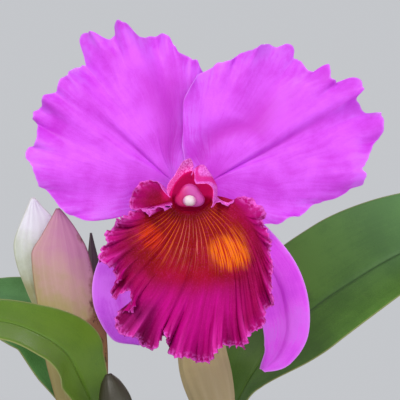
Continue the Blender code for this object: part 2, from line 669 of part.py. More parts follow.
def bark(rhizome_cutter):
    """Bark that fills the pot, with chips on top and room for the rhizome."""
    finish = material("bark brown", (112, 74, 48), 0.9)
    bottom = POT_FLOOR + GAP
    low = pot_radius(bottom) - POT_WALL - GAP
    high = pot_radius(BARK_TOP) - POT_WALL - GAP
    profile = [(low, bottom), (high, BARK_TOP), (high * 0.5, BARK_TOP + BARK_DOME * 0.7)]
    points = []
    for radius, height in profile:
        for k in range(POT_SEGMENTS):
            turn = math.tau * k / POT_SEGMENTS
            points.append((radius * math.cos(turn), radius * math.sin(turn), height))
    faces = [tuple(reversed(range(POT_SEGMENTS)))]
    for ring in range(2):
        for k in range(POT_SEGMENTS):
            n = (k + 1) % POT_SEGMENTS
            a = ring * POT_SEGMENTS
            faces.append((a + k, a + n, a + POT_SEGMENTS + n, a + POT_SEGMENTS + k))
    points.append((0, 0, BARK_TOP + BARK_DOME * 0.7))
    for k in range(POT_SEGMENTS):
        faces.append((2 * POT_SEGMENTS + k, 2 * POT_SEGMENTS + (k + 1) % POT_SEGMENTS, len(points) - 1))
    core = solid("bark", points, faces, finish)
    chips = bpy.data.collections.new("chips")
    rng = random.Random(7)
    for number in range(CHIP_COUNT):
        out = (high - 10) * math.sqrt((number + 0.5) / CHIP_COUNT)
        turn = number * 2.39996 + rng.uniform(-0.2, 0.2)
        place = (out * math.cos(turn), out * math.sin(turn), BARK_TOP + rng.uniform(0.5, 2.5))
        made = solid("chip", *chip(place, rng), finish)
        bpy.context.scene.collection.objects.unlink(made)
        chips.objects.link(made)
    boolean(core, "UNION", collection=chips, solver="MANIFOLD")
    keep_largest(core)
    boolean(core, "DIFFERENCE", tool=rhizome_cutter, solver="MANIFOLD")
    return core


def clear_of_growths(core):
    """Cut room in the bark for the feet of the growths."""
    for foot in (LEAD_FOOT, LEFT_FOOT, MIDDLE_FOOT, OLD_FOOT, NEW_FOOT):
        path = [(*foot, RHIZOME_HEIGHT), (*foot, RHIZOME_HEIGHT + 14)]
        room = stem("room", path, [(0, 9.5), (1, 9.5)], steps(1), 10, core.data.materials[0])
        boolean(core, "DIFFERENCE", tool=room, solver="MANIFOLD")
    keep_largest(core)


def pot():
    clay = material("clay", (178, 96, 62), 0.85)
    collar = POT_HEIGHT - POT_COLLAR_HEIGHT
    profile = [
        (POT_BASE_RADIUS - 2, 0), (POT_BASE_RADIUS, 2),
        (pot_radius(collar), collar), (POT_RIM_RADIUS - 1.5, collar + 1),
        (POT_RIM_RADIUS, collar + 4), (POT_RIM_RADIUS + 1, POT_HEIGHT - 2),
        (POT_RIM_RADIUS - 1, POT_HEIGHT), (pot_radius(POT_HEIGHT) - POT_WALL + 2, POT_HEIGHT),
        (pot_radius(POT_HEIGHT - 3) - POT_WALL, POT_HEIGHT - 3),
        (pot_radius(POT_FLOOR) - POT_WALL, POT_FLOOR)]
    shell = turned_pot(profile, clay)
    for k in range(DRAIN_COUNT):
        turn = math.tau * (k + 0.25) / DRAIN_COUNT
        x = DRAIN_RING_RADIUS * math.cos(turn)
        y = DRAIN_RING_RADIUS * math.sin(turn)
        path = [(x, y, -3), (x, y, POT_FLOOR + 3)]
        hole = stem("drain", path, [(0, DRAIN_RADIUS), (1, DRAIN_RADIUS)], steps(1), 16, clay)
        boolean(shell, "DIFFERENCE", tool=hole)
    return shell


def turned_pot(profile, finish):
    """Pot from a profile, closed flat at both ends."""
    points = []
    for radius, height in profile:
        for k in range(POT_SEGMENTS):
            turn = math.tau * k / POT_SEGMENTS
            points.append((radius * math.cos(turn), radius * math.sin(turn), height))
    faces = [tuple(reversed(range(POT_SEGMENTS)))]
    for ring in range(len(profile) - 1):
        for k in range(POT_SEGMENTS):
            n = (k + 1) % POT_SEGMENTS
            a = ring * POT_SEGMENTS
            faces.append((a + k, a + n, a + POT_SEGMENTS + n, a + POT_SEGMENTS + k))
    inner = (len(profile) - 1) * POT_SEGMENTS
    faces.append(tuple(inner + k for k in range(POT_SEGMENTS)))
    return solid("pot", points, faces, finish)


def main():
    for old in list(bpy.data.objects):
        bpy.data.objects.remove(old)
    bloom()
    leaves()
    sheaths()
    growths()
    creeping("rhizome", 0.0, material("rhizome brown", (122, 104, 74), 0.7))
    cutter = creeping("rhizome_room", GAP + 0.1, material("room", (122, 104, 74), 0.7))
    clear_of_growths(bark(cutter))
    pot()


main()
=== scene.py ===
"""Looks of a cattleya orchid in bloom, growing in bark in a plain clay pot.

Lengths in the tables are millimetres, angles are degrees. A mesh is turned
into metres as it is made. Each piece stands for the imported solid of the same
form, and is made from the same driving sizes. Only the loose chips of bark
have no solid of their own.
"""
import math
import random

import bpy
import numpy as np
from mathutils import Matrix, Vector


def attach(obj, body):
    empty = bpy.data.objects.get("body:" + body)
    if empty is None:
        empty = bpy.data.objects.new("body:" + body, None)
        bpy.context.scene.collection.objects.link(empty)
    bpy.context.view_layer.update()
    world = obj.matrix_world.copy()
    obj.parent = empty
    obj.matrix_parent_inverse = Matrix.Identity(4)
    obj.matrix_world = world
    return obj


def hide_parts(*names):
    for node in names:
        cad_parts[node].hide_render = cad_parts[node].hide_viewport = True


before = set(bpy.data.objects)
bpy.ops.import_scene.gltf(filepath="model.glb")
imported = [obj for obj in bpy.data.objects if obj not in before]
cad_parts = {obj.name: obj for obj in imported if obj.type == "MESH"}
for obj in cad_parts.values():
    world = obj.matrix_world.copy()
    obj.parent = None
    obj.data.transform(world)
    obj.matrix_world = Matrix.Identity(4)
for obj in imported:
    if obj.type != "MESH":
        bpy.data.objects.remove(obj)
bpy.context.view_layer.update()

MM = 0.001
FRONT = (0, -1, 0)
GAP = 0.3
GAMMA = 2.2
PATH_STEP = 0.002

# The photograph: its centre, its scale at the bloom and the camera's distance
PHOTO_SIZE = 400
MM_PER_PIXEL = 0.447
CAMERA_DISTANCE = 800.0
CAMERA_SIDE = 4.5
CAMERA_HEIGHT = 369.8
SENSOR = 36.0
FARTHEST_SEEN = 100.0

# Pot and bark, as packed
POT_HEIGHT = 135.0
POT_BASE_RADIUS = 52.0
POT_RIM_RADIUS = 78.0
POT_WALL = 6.0
POT_FLOOR = 8.0
POT_COLLAR_HEIGHT = 26.0
POT_COLLAR_OUT = 4.0
POT_SEGMENTS = 144
DRAIN_RADIUS = 6.0
DRAIN_RING_RADIUS = 30.0
DRAIN_COUNT = 3
BARK_TOP = 118.0

# Loose chips of bark, in metres
CHIP_SPACING = 0.0052
CHIP_SIZES = {"Spacing": CHIP_SPACING, "Length": 0.013, "Width": 0.008, "Depth": 0.0045}
CHIP_RELIEF = 0.0042
CHIP_RELIEF_SCALE = 190.0
MOST_CHIPS = 60000

# The ground that the chips lie on, in millimetres: its squares, its height over
# the bark, and what it leaves clear at the pot and round each growth's foot
CHIP_GROUND_CELL = 3.0
CHIP_GROUND_RISE = 0.6
CHIP_RIM_CLEAR = 9.0
CHIP_FOOT_CLEAR = 13.0

# Growths, as packed
RHIZOME_RADIUS = 5.0
RHIZOME_HEIGHT = BARK_TOP + 3.5
FOOT_HEIGHT = RHIZOME_HEIGHT + RHIZOME_RADIUS + GAP
LEAD_FOOT = (15.0, -3.0)
LEAD_TOP = (15.0, 4.0, 258.0)
LEFT_FOOT = (-16.0, -18.0)
LEFT_TOP = (-40.0, -30.0, 262.0)
MIDDLE_FOOT = (-28.0, 3.0)
MIDDLE_TOP = (-51.0, -4.0, 264.0)
OLD_FOOT = (-31.0, 27.0)
OLD_TOP = (-47.0, 37.0, 256.0)
NEW_FOOT = (3.0, -35.0)
NEW_TIP = (-35.5, -50.0, 294.0)
BULB_RADIUS = 9.6

# Bloom, as packed
BLOOM = (0.0, -30.0, 372.0)
KNOB_RADIUS = 4.6
PETAL_START = KNOB_RADIUS + GAP + 0.2
MOUTH_FORWARD = 25.0

# Petals: the reach that their relief is made for, and the waves in it a turn
FULL_REACH = 85.0
PETAL_FOLDS = 13
PETAL_SWELLS = 5

# Studio: soft square lights with their place and size in metres, power and tint
LAMPS = {
    "key": ((-0.5, -0.95, 1.15), 0.45, 10, (1.0, 0.98, 0.95)),
    "front": ((0.25, -1.2, 0.45), 0.3, 2.5, (1, 1, 1)),
    "fill": ((0.95, -0.7, 0.6), 0.8, 2.5, (0.96, 0.98, 1.0)),
    "back": ((0.3, 1.1, 1.0), 0.7, 6, (1, 1, 1)),
}
LAMP_AIM = (0, -0.03, 0.33)
SKY = (0.84, 0.86, 0.9, 1)
SKY_STRENGTH = 0.66
FLOOR_GLOW = 0.34
FLOOR_RADIUS = 2200
FLOOR_TOP = -0.1
FLOOR_BOTTOM = -30


# Numbers between given ones

def hermite(xs, values, slopes, x):
    """Smooth values at x between the rows on each side of each x."""
    x = np.clip(np.asarray(x, dtype=float), xs[0], xs[-1])
    i = np.clip(np.searchsorted(xs, x, side="right") - 1, 0, len(xs) - 2)
    span = (xs[i + 1] - xs[i])[..., None]
    u = (x[..., None] - xs[i][..., None]) / span
    start = (2 * u ** 3 - 3 * u ** 2 + 1) * values[i]
    start = start + (u ** 3 - 2 * u ** 2 + u) * span * slopes[i]
    end = (3 * u ** 2 - 2 * u ** 3) * values[i + 1] + (u ** 3 - u ** 2) * span * slopes[i + 1]
    return start + end


def curve(table, x):
    """Values at x through rows (x, value, ...), which never run past a row's value."""
    rows = np.array(table, dtype=float)
    xs = rows[:, 0]
    values = rows[:, 1:]
    rise = np.diff(values, axis=0) / np.diff(xs)[:, None]
    before, after = rise[:-1], rise[1:]
    same_way = before * after > 0
    total = np.where(same_way, before + after, 1.0)
    inner = np.where(same_way, 2 * before * after / total, 0.0)
    result = hermite(xs, values, np.vstack([rise[:1], inner, rise[-1:]]), x)
    return result[..., 0] if result.shape[-1] == 1 else result


def route(points, t):
    """Points at t, from 0 to 1, on a smooth path through points at even steps."""
    values = np.array(points, dtype=float)
    xs = np.linspace(0, 1, len(values))
    return hermite(xs, values, np.gradient(values, xs, axis=0), t)


def smooth(u):
    """Ease from 0 to 1."""
    u = np.clip(u, 0.0, 1.0)
    return u * u * (3 - 2 * u)


def ripple(angle, per_turn, seed, spread=0.35):
    """Uneven waves between about -1 and 1 along an angle in degrees."""
    rng = random.Random(seed)
    total = 0.0
    for _ in range(4):
        pace = per_turn * (1 + rng.uniform(-spread, spread))
        total = total + np.sin(np.radians(angle) * pace + rng.uniform(0, math.tau))
    return total / 2.2


def unit(vectors):
    """Vectors brought to length 1."""
    return vectors / np.linalg.norm(vectors, axis=-1, keepdims=True)


# Materials

def colour(shade):
    """Linear colour from an sRGB (red, green, blue) of 0 to 255. Any other value stays."""
    if isinstance(shade, tuple) and len(shade) == 3:
        return tuple((part / 255) ** GAMMA for part in shade) + (1.0,)
    return shade


def feed(tree, socket, value):
    """Link a socket to a number or another socket, or set its own value."""
    source = getattr(value, "socket", value)
    if isinstance(source, bpy.types.NodeSocket):
        tree.links.new(source, socket)
    else:
        socket.default_value = value


def add_node(tree, kind, settings=None, inputs=None):
    """New node, with its settings made before its values and links."""
    node = tree.nodes.new(kind)
    for name, value in (settings or {}).items():
        setattr(node, name, value)
    for name, value in (inputs or {}).items():
        feed(tree, node.inputs[name], value)
    return node


class Number:
    """A number that varies over a surface. Python sums of it add Math nodes."""

    def __init__(self, finish, socket):
        self.finish = finish
        self.socket = socket

    def __add__(self, other):
        return self.finish.maths("ADD", self, other)

    def __sub__(self, other):
        return self.finish.maths("SUBTRACT", self, other)

    def __rsub__(self, other):
        return self.finish.maths("SUBTRACT", other, self)

    def __mul__(self, other):
        return self.finish.maths("MULTIPLY", self, other)

    def __truediv__(self, other):
        return self.finish.maths("DIVIDE", self, other)

    def __abs__(self):
        return self.finish.maths("ABSOLUTE", self)

    __radd__ = __add__
    __rmul__ = __mul__

    def ramp(self, low, high):
        """0 at low, 1 at high, eased between. low may be the larger."""
        if low > high:
            return 1.0 - self.ramp(high, low)
        node = self.finish.add("ShaderNodeMapRange", {"interpolation_type": "SMOOTHSTEP"},
                               {"Value": self, "From Min": low, "From Max": high})
        return Number(self.finish, node.outputs["Result"])

    def window(self, low, full, still, high):
        """1 from full to still, eased to 0 at low and high."""
        return self.ramp(low, full) * self.ramp(high, still)


class Finish:
    """One material: its Principled shader, the nodes that feed it and its colour so far."""

    def __init__(self, name, uniform):
        self.material = bpy.data.materials.new(name)
        self.material.use_nodes = True
        self.tree = self.material.node_tree
        self.shader = self.tree.nodes["Principled BSDF"]
        self.base = None
        self.coordinates = None
        for socket, value in uniform.items():
            self.shader.inputs[socket].default_value = value

    def add(self, kind, settings=None, inputs=None):
        return add_node(self.tree, kind, settings, inputs)

    def maths(self, operation, *values):
        node = self.add("ShaderNodeMath", {"operation": operation}, dict(enumerate(values)))
        return Number(self, node.outputs[0])

    def larger(self, first, second):
        return self.maths("MAXIMUM", first, second)

    def values(self, *attributes):
        """Numbers that the mesh carries at each of its points."""
        nodes = [self.add("ShaderNodeAttribute", {"attribute_name": a}) for a in attributes]
        return [Number(self, node.outputs["Fac"]) for node in nodes]

    def place(self):
        """Object coordinates in millimetres, as three numbers."""
        if not self.coordinates:
            source = self.add("ShaderNodeTexCoord").outputs["Object"]
            split = self.add("ShaderNodeSeparateXYZ", None, {"Vector": source})
            self.coordinates = [Number(self, output) * 1000.0 for output in split.outputs]
        return self.coordinates

    def noise(self, x, y, z=0.0, scale=1.0, detail=3.0, roughness=0.55):
        """Cloudy number round 0.5 over three numbers."""
        where = self.add("ShaderNodeCombineXYZ", None, {0: x, 1: y, 2: z})
        node = self.add("ShaderNodeTexNoise", None, {
            "Vector": where.outputs[0], "Scale": scale, "Detail": detail, "Roughness": roughness})
        return Number(self, node.outputs["Fac"])

    def cloud(self, scale, detail, roughness=0.55):
        """Cloudy number round 0.5 over the object's own coordinates."""
        return self.noise(*self.place(), scale, detail, roughness)

    def blend(self, share, first, second):
        """Colour from first to second as share goes from 0 to 1."""
        node = self.add("ShaderNodeMix", {"data_type": "RGBA", "clamp_factor": True},
                        {0: share, 6: colour(first), 7: colour(second)})
        return node.outputs[2]

    def ground(self, share, first, second):
        """First coat of the base colour, which goes from first to second."""
        self.base = self.blend(share, first, second)

    def lay(self, share, over):
        """Lay a colour over the base, as thickly as share says."""
        self.base = self.blend(share, self.base, over)

    def bump(self, height, depth):
        """Relief of a depth in millimetres."""
        node = self.add("ShaderNodeBump", None,
                        {"Height": height, "Distance": depth * MM, "Strength": 1.0})
        feed(self.tree, self.shader.inputs["Normal"], node.outputs["Normal"])

    def paint(self, roughness):
        """Give the shader the base colour and a roughness."""
        feed(self.tree, self.shader.inputs["Base Color"], self.base)
        feed(self.tree, self.shader.inputs["Roughness"], roughness)
        return self.material


def petal_finish(name, deep, bright, pale):
    """Magenta petal: soft clouds, a pinker heart, painted shade in its folds and creases, fine
    veins, painted sheen and a painted highlight at its rim, sparkling cells.
    """
    finish = Finish(name, {"Specular IOR Level": 0.3})
    turn, out, rim, fold_shade = finish.values("turn", "out", "rim", "fold_shade")
    wander = finish.cloud(0.06, 2) * 4
    streak = finish.noise(turn * 0.6 + wander, out * 0.05, 0, 1, 3)
    cloud = finish.cloud(0.06, 4)
    cell = finish.cloud(2.2, 2)
    shade = (streak - 0.5) * 0.4 + (cloud - 0.5) * 1.2 + (cell - 0.5) * 0.25 + 0.55
    finish.ground(shade.ramp(0.15, 0.85), deep, bright)
    # Painted shade in folds and creases, and a pinker heart near the base.
    finish.lay(finish.larger(fold_shade, out.ramp(30, 6) * 0.5) * 0.85, (180, 36, 184))
    # Painted sheen: paler lilac patches near the margin.
    painted_sheen = rim.ramp(16, 4) * (cloud + (streak - 0.5) * 0.6).ramp(0.44, 0.62)
    finish.lay(painted_sheen * 0.45, (200, 102, 232))
    # Painted highlight along the rim.
    edge = rim.ramp(1.5, 0.3) * 0.3 + rim.ramp(0.55, 0.1) * 0.45
    finish.lay(edge, pale)
    vein = finish.noise(turn * 1.4 + wander, out * 0.07, 3, 1, 2)
    finish.bump(vein * 0.3 + cell * 0.45 + finish.cloud(0.45, 2) * 0.6, 0.2)
    return finish.paint(0.4 + cell * 0.16)


def lip_finish():
    """Crimson lip: golden veins and eyes in the throat, magenta frill, pale outside, with painted
    highlights on its rim and ruffle crests, painted shade in its ruffles' hollows and on its
    lower-left lobe, and a painted glow in its tube.
    """
    finish = Finish("lip crimson", {"Specular IOR Level": 0.07, "Emission Strength": 1})
    turn, out, rim, ruffle_shading, inner = finish.values("turn", "out", "rim", "ruffle_shading", "face")
    x, _, z = finish.place()
    up = z - BLOOM[2]
    wander = finish.cloud(0.09, 2) * 5
    streak = finish.noise(turn * 0.45 + wander * 0.3, out * 0.04, 0, 1, 3)
    cloud = finish.cloud(0.1, 4)
    cell = finish.cloud(1.8, 2)

    crimson = finish.blend(cloud.ramp(0.3, 0.7), (118, 0, 10), (144, 0, 26))
    rose = finish.blend(cloud.ramp(0.3, 0.7), (122, 0, 50), (150, 0, 74))
    magenta = finish.blend(streak.ramp(0.3, 0.7), (158, 0, 100), (182, 8, 126))
    across, along = (x - 2) / 25, (up + 20) / 24
    heart = across * across + along * along + (cloud - 0.5) * 0.9
    finish.ground(heart.ramp(0.5, 1.4), crimson, rose)
    low = (up + (cloud - 0.5) * 10).ramp(-33, -48)
    low = low * abs(x + 1 - up * 0.05).ramp(36, 14)
    share = finish.larger(low, rim.ramp(9, 1) * 0.8) + (cloud - 0.5) * 0.4
    finish.lay(share, magenta)
    shaded = up.ramp(-42, -50) * x.ramp(-10, -18)
    finish.lay(shaded * 0.75, (106, 0, 64))

    below = turn.window(80, 112, 252, 272)
    throat = out.ramp(36, 10) * turn.window(116, 140, 232, 256)
    finish.lay(throat, (98, 0, 0))
    # Painted light: the inside of the upper tube is brighter than its crimson, for light through
    # its thin walls.
    hollow = (1 - below) * out.ramp(13, 10)
    finish.lay(hollow, (206, 14, 106))

    warm = out.window(8, 14, 20, 36) * turn.window(118, 138, 234, 250)
    line = finish.maths("SINE", turn * 1.15 + wander * 0.7)
    between = finish.maths("SINE", turn * 2.3 + wander * 1.4 + 1.6) * out.ramp(18, 24)
    fine = finish.noise(turn * 0.9 + wander * 0.3, out * 0.06, 9, 1, 2)
    thin = finish.larger(line.ramp(0.72, 0.98), between.ramp(0.8, 0.98) * 0.8)
    thin = thin * fine.ramp(0.36, 0.56)
    finish.lay(warm * 0.28, (168, 30, 4))
    golden = finish.blend(abs(turn - 183).ramp(24, 8), (212, 92, 14), (206, 108, 84))
    finish.lay(thin * warm * 0.85, golden)

    def eye(side, height, wide, tall, lean):
        """Soft oval spot: its place from the bloom's middle, half-sizes and lean."""
        across, along = x - side, up - height
        cos, sin = math.cos(lean), math.sin(lean)
        first = (across * cos + along * sin) / wide
        second = (along * cos - across * sin) / tall
        spread = first * first + second * second + (streak - 0.5) * 2.2 + (cell - 0.5) * 0.7
        return spread.ramp(1.9, 0.2) * inner

    amber = finish.blend(fine.ramp(0.42, 0.58), (132, 4, 2), (198, 56, 4))
    finish.lay(eye(side=-16.4, height=-18, wide=4.4, tall=5.2, lean=0.6) * 0.85, amber)
    gold = finish.blend(fine.ramp(0.4, 0.56), (168, 30, 2), (222, 108, 8))
    wedge = out.window(20, 29, 31, 38) * turn.window(200, 216, 236, 250)
    finish.lay(wedge * fine.ramp(0.42, 0.6) * 0.5, gold)
    finish.lay(eye(side=17.4, height=-25, wide=8.2, tall=5.8, lean=-0.5), gold)

    # Painted highlight on the ruffles' crests and painted shade in their hollows.
    finish.lay(ruffle_shading.ramp(0, 0.7) * 0.8, (206, 48, 156))
    finish.lay(ruffle_shading.ramp(0, -0.8) * 0.6, (104, 0, 54))
    lumps = finish.cloud(0.55, 3)
    # Painted highlight along the frilled rim.
    frill = rim.ramp(3.4, 0.6) * lumps.ramp(0.44, 0.6) * 0.6 + rim.ramp(0.8, 0.2) * 0.55
    finish.lay(frill, (224, 92, 204))
    finish.lay((cell - 0.5) * 0.8, (206, 50, 140))
    hood = finish.larger(turn.ramp(74, 64), turn.ramp(267, 273))
    band = hood * (rim + (cloud - 0.5) * 2).ramp(4.6, 3.4)
    sparkle = finish.blend(cell.ramp(0.42, 0.58), (206, 66, 168), (240, 134, 226))
    finish.lay(band * 0.9, sparkle)
    outside = finish.blend(cell.ramp(0.4, 0.6), (206, 74, 178), (228, 112, 214))
    outside = finish.blend(out.ramp(18, 40), outside, magenta)
    folded = rim.window(0.4, 0.8, 2.2, 3.4) * turn.window(268, 278, 342, 350)
    outside = finish.blend(folded * 0.85, outside, (202, 26, 124))
    finish.lay(1 - inner, outside)
    vein = finish.noise(turn * 1.1, out * 0.08, 2, 1, 2)
    finish.bump(vein * 0.3 + cell * 0.4 + cloud * 0.8 + lumps * rim.ramp(14, 2), 0.3)
    # Painted light: the upper tube's inside glows pink, and the shaded hollow below the column
    # glows dark red.
    glow = (1 - below) * inner * out.ramp(14, 10)
    light = finish.blend(glow, (0, 0, 0, 1), (0.26, 0.003, 0.065, 1))
    depth = below * inner * out.ramp(9.8, 6.8)
    feed(finish.tree, finish.shader.inputs["Emission Color"],
         finish.blend(depth, light, (0.11, 0, 0.012, 1)))
    return finish.paint(0.5 + cell * 0.2)


def column_finish():
    """Waxy column: crimson on its left side going to lilac on its right."""
    finish = Finish("column pink", {"Specular IOR Level": 0.4})
    x, _, z = finish.place()
    mottle = finish.cloud(0.25, 4)
    share = x + (z - BLOOM[2]) * 0.3 + (mottle - 0.5) * 4
    finish.ground(share.ramp(-4.5, 2.5), (190, 20, 100), (194, 76, 166))
    finish.bump(mottle, 0.15)
    return finish.paint(0.4 + mottle * 0.15)


def cap_finish():
    """Pale anther cap with a rosy edge."""
    finish = Finish("anther cream", {"Specular IOR Level": 0.4})
    x = finish.place()[0]
    mottle = finish.cloud(0.5, 3)
    edge = abs(x - BLOOM[0] + (mottle - 0.5) * 2).ramp(1.2, 2.8)
    finish.ground(edge, (214, 196, 202), (202, 120, 180))
    finish.bump(mottle, 0.1)
    return finish.paint(0.35 + mottle * 0.1)


def leaf_finish(name, deep, bright, sheen, groove_shade):
    """Leathery leaf: painted shade along its midrib's groove, a painted sheen towards the tip,
    fine veins, a yellowed edge, dull spots.
    """
    finish = Finish(name, {"Specular IOR Level": 0.4, "Coat Weight": 0.08, "Coat Roughness": 0.35})
    along, across, rim = finish.values("along", "across", "rim")
    cloud = finish.cloud(0.03, 4)
    grain = finish.noise(across * 20, along * 3, 0, 1, 3)
    fleck = finish.cloud(1.6, 3)
    shade = cloud * 0.7 + grain * 0.12 + fleck * 0.18
    finish.ground(shade.ramp(0.38, 0.62), deep, bright)
    # Painted sheen towards the tip, most on one side of the midrib.
    finish.lay(along.ramp(0.4, 0.95) * across.ramp(0.9, -0.1) * 0.75, sheen)
    # Painted shade along the sunk midrib.
    groove = abs(across + (cloud - 0.5) * 0.03).ramp(0.045, 0)
    finish.lay(groove * groove_shade, (44, 72, 38))
    finish.lay(rim.ramp(0.7, 0.1) * 0.6, (150, 146, 92))
    speck = finish.cloud(0.5, 4).ramp(0.68, 0.74)
    finish.lay(speck * 0.35, (60, 70, 36))
    fine = finish.noise(across * 60, along * 5, 0, 1, 2)
    finish.bump(fine * 0.4 + fleck * 0.6, 0.12)
    return finish.paint(0.34 + grain * 0.16)


def papery_finish(name, tip, middle, foot, dry, dry_from):
    """Papery sheath: colours from tip to foot, faint veins, blotches and a dry brown side."""
    finish = Finish(name, {"Specular IOR Level": 0.3})
    along, across, rim = finish.values("along", "across", "rim")
    x, y, z = finish.place()
    cloud = finish.cloud(0.08, 5, 0.6)
    lines = finish.noise(across * 11, along * 1.6, 0, 1, 3)
    place = along + (cloud - 0.5) * 0.35 + across * 0.1
    finish.ground(place.ramp(0.57, 0.8), foot, middle)
    finish.lay(place.ramp(0.74, 0.94), tip)
    finish.lay(lines.ramp(0.45, 0.7) * 0.05, (236, 226, 214))
    stain = (across + (cloud - 0.5) * 1.6 - along * 2.4 + 1.15).ramp(dry_from, dry_from + 0.35)
    finish.lay(stain * 0.85, dry)
    crack = finish.noise(x * 1.6, y, z * 0.6, 0.3, 5, 0.7).ramp(0.55, 0.62) * stain
    finish.lay(crack * 0.8, (52, 34, 24))
    finish.lay(rim.ramp(0.8, 0.1) * 0.4, dry)
    finish.bump(lines * 0.5 + finish.cloud(0.8, 3) * 0.5, 0.1)
    return finish.paint(0.5 + cloud * 0.25)


def bulb_finish(name, green, tint, tip=0):
    """Green pseudobulb with lengthwise streaks and dry flecks, darker at the tip."""
    finish = Finish(name, {"Specular IOR Level": 0.45, "Coat Weight": 0.1, "Coat Roughness": 0.35})
    z = finish.place()[2]
    around = finish.values("around")[0]
    streak = finish.noise(around * 9, z * 0.02, 0, 1, 3)
    cloud = finish.cloud(0.05, 4)
    finish.ground((streak * 0.5 + cloud * 0.5).ramp(0.38, 0.62), green, tint)
    fleck = finish.cloud(0.45, 4).ramp(0.66, 0.74)
    finish.lay(fleck * 0.5, (104, 84, 52))
    if tip:
        finish.lay(finish.values("along")[0].ramp(0.55, 0.85) * tip, (44, 40, 26))
    finish.bump(streak * 0.6 + finish.cloud(0.7, 3) * 0.4, 0.3)
    return finish.paint(0.38 + cloud * 0.2)


def bark_finish():
    """Brown bark with light and dark chips and a fibrous grain."""
    finish = Finish("bark brown", {"Specular IOR Level": 0.25})
    x, y, z = finish.place()
    cloud = finish.cloud(0.07, 3)
    grain = finish.noise(x * 0.35, y * 1.2, z * 0.8, 0.9, 5, 0.7)
    finish.ground(cloud.ramp(0.35, 0.65), (66, 40, 26), (140, 92, 60))
    finish.lay(grain.ramp(0.4, 0.7) * 0.6, (164, 120, 84))
    finish.lay(grain.ramp(0.42, 0.3) * 0.6, (40, 26, 20))
    finish.bump(grain, 0.9)
    return finish.paint(0.75 + grain * 0.2)


def clay_finish():
    """Unglazed clay with a fine grain, darker where damp and pale with lime."""
    finish = Finish("clay", {"Specular IOR Level": 0.2})
    z = finish.place()[2]
    cloud = finish.cloud(0.018, 4)
    grain = finish.cloud(1.3, 3, 0.7)
    damp = (z + (cloud - 0.5) * 90).ramp(84, 10)
    finish.ground(cloud.ramp(0.3, 0.7), (178, 92, 60), (198, 116, 80))
    finish.lay(damp * 0.45, (142, 72, 48))
    lime = finish.cloud(0.05, 5, 0.7).ramp(0.58, 0.72) * z.ramp(60, 125)
    finish.lay(lime * 0.4, (218, 190, 168))
    finish.lay(grain.ramp(0.62, 0.72) * 0.35, (120, 60, 40))
    finish.bump(grain, 0.25)
    return finish.paint(0.78 + grain * 0.12)


def root_finish():
    """Rhizome brown going to silvery roots with green tips."""
    finish = Finish("root silver", {"Specular IOR Level": 0.3})
    silver = finish.values("silver")[0]
    cloud = finish.cloud(0.15, 4)
    brown = finish.blend(cloud.ramp(0.35, 0.65), (92, 76, 48), (132, 118, 78))
    pale = finish.blend(cloud.ramp(0.35, 0.65), (176, 172, 156), (214, 210, 198))
    finish.bump(finish.cloud(0.9, 3), 0.35)
    finish.ground(silver, brown, pale)
    return finish.paint(0.6 + cloud * 0.2)


# Meshes

def mesh_object(name, points, faces, values, finish):
    """Smooth object from points in millimetres, with numbers at its points."""
    mesh = bpy.data.meshes.new(name)
    mesh.from_pydata((np.asarray(points) * MM).tolist(), [], faces)
    for key, numbers in values.items():
        attribute = mesh.attributes.new(key, "FLOAT", "POINT")
        attribute.data.foreach_set("value", np.asarray(numbers, dtype=np.float32).ravel())
    mesh.shade_smooth()
    mesh.materials.append(finish)
    piece = bpy.data.objects.new(name, mesh)
    bpy.context.scene.collection.objects.link(piece)
    return piece


def sheet(name, middle, thickness, values, finish, facing):
    """Thin closed piece about a grid of points, whose front looks along facing."""
    rows, columns = middle.shape[:2]
    normal = unit(np.cross(np.gradient(middle, axis=0), np.gradient(middle, axis=1)))
    turned = np.sum(normal @ np.array(facing, dtype=float)) < 0
    if turned:
        normal = -normal
    half = normal * (np.broadcast_to(thickness, (rows, columns)) / 2)[:, :, None]
    points = np.vstack([(middle + half).reshape(-1, 3), (middle - half).reshape(-1, 3)])
    number = np.arange(rows * columns).reshape(rows, columns)
    other = rows * columns
    a, b = number[:-1, :-1].ravel(), number[:-1, 1:].ravel()
    c, d = number[1:, 1:].ravel(), number[1:, :-1].ravel()
    front = np.column_stack([a, d, c, b])
    back = np.column_stack([a, b, c, d]) + other
    loop = np.concatenate([number[0, :-1], number[:-1, -1], number[-1, :0:-1], number[:0:-1, 0]])
    after = np.roll(loop, -1)
    rim = np.column_stack([loop, after, after + other, loop + other])
    faces = np.vstack([front, back, rim])
    if turned:
        faces = faces[:, ::-1]
    carried = {}
    for key, numbers in values.items():
        flat = np.broadcast_to(numbers, (rows, columns)).ravel()
        carried[key] = np.concatenate([flat, flat])
    carried["face"] = np.concatenate([np.ones(other), np.zeros(other)])
    return mesh_object(name, points, faces.tolist(), carried, finish)


def dress(piece, slot, *nodes):
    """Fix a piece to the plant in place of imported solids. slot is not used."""
    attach(piece, "root")
    if nodes:
        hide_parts(*nodes)
    return piece


def heading(path, t):
    """Directions of a path at t."""
    after, before = np.clip(t + PATH_STEP, 0, 1), np.clip(t - PATH_STEP, 0, 1)
    return unit(route(path, after) - route(path, before))


def tube_faces(rings, sides):
    """Faces of a tube over rings of points, closed at both ends."""
    number = np.arange(rings * sides).reshape(rings, sides)
    after = np.roll(number, -1, axis=1)
    walls = np.stack([number[:-1], after[:-1], after[1:], number[1:]], axis=-1)
    return walls.reshape(-1, 4).tolist() + [number[0, ::-1].tolist(), number[-1].tolist()]


def settle(piece):
    """Bring a piece's modifiers into its mesh."""
    graph = bpy.context.evaluated_depsgraph_get()
    mesh = bpy.data.meshes.new_from_object(piece.evaluated_get(graph))
    piece.modifiers.clear()
    piece.data = mesh


def frames(path, places):
    """Centres, directions and two sideways directions along a path, without twist."""
    centres, ahead = route(path, places), heading(path, places)
    side = np.cross(ahead[0], (0.0, 1.0, 0.0))
    sides = []
    for direction in ahead:
        side = unit(side - direction * np.dot(side, direction))
        sides.append(side)
    sides = np.array(sides)
    return centres, ahead, sides, np.cross(ahead, sides)


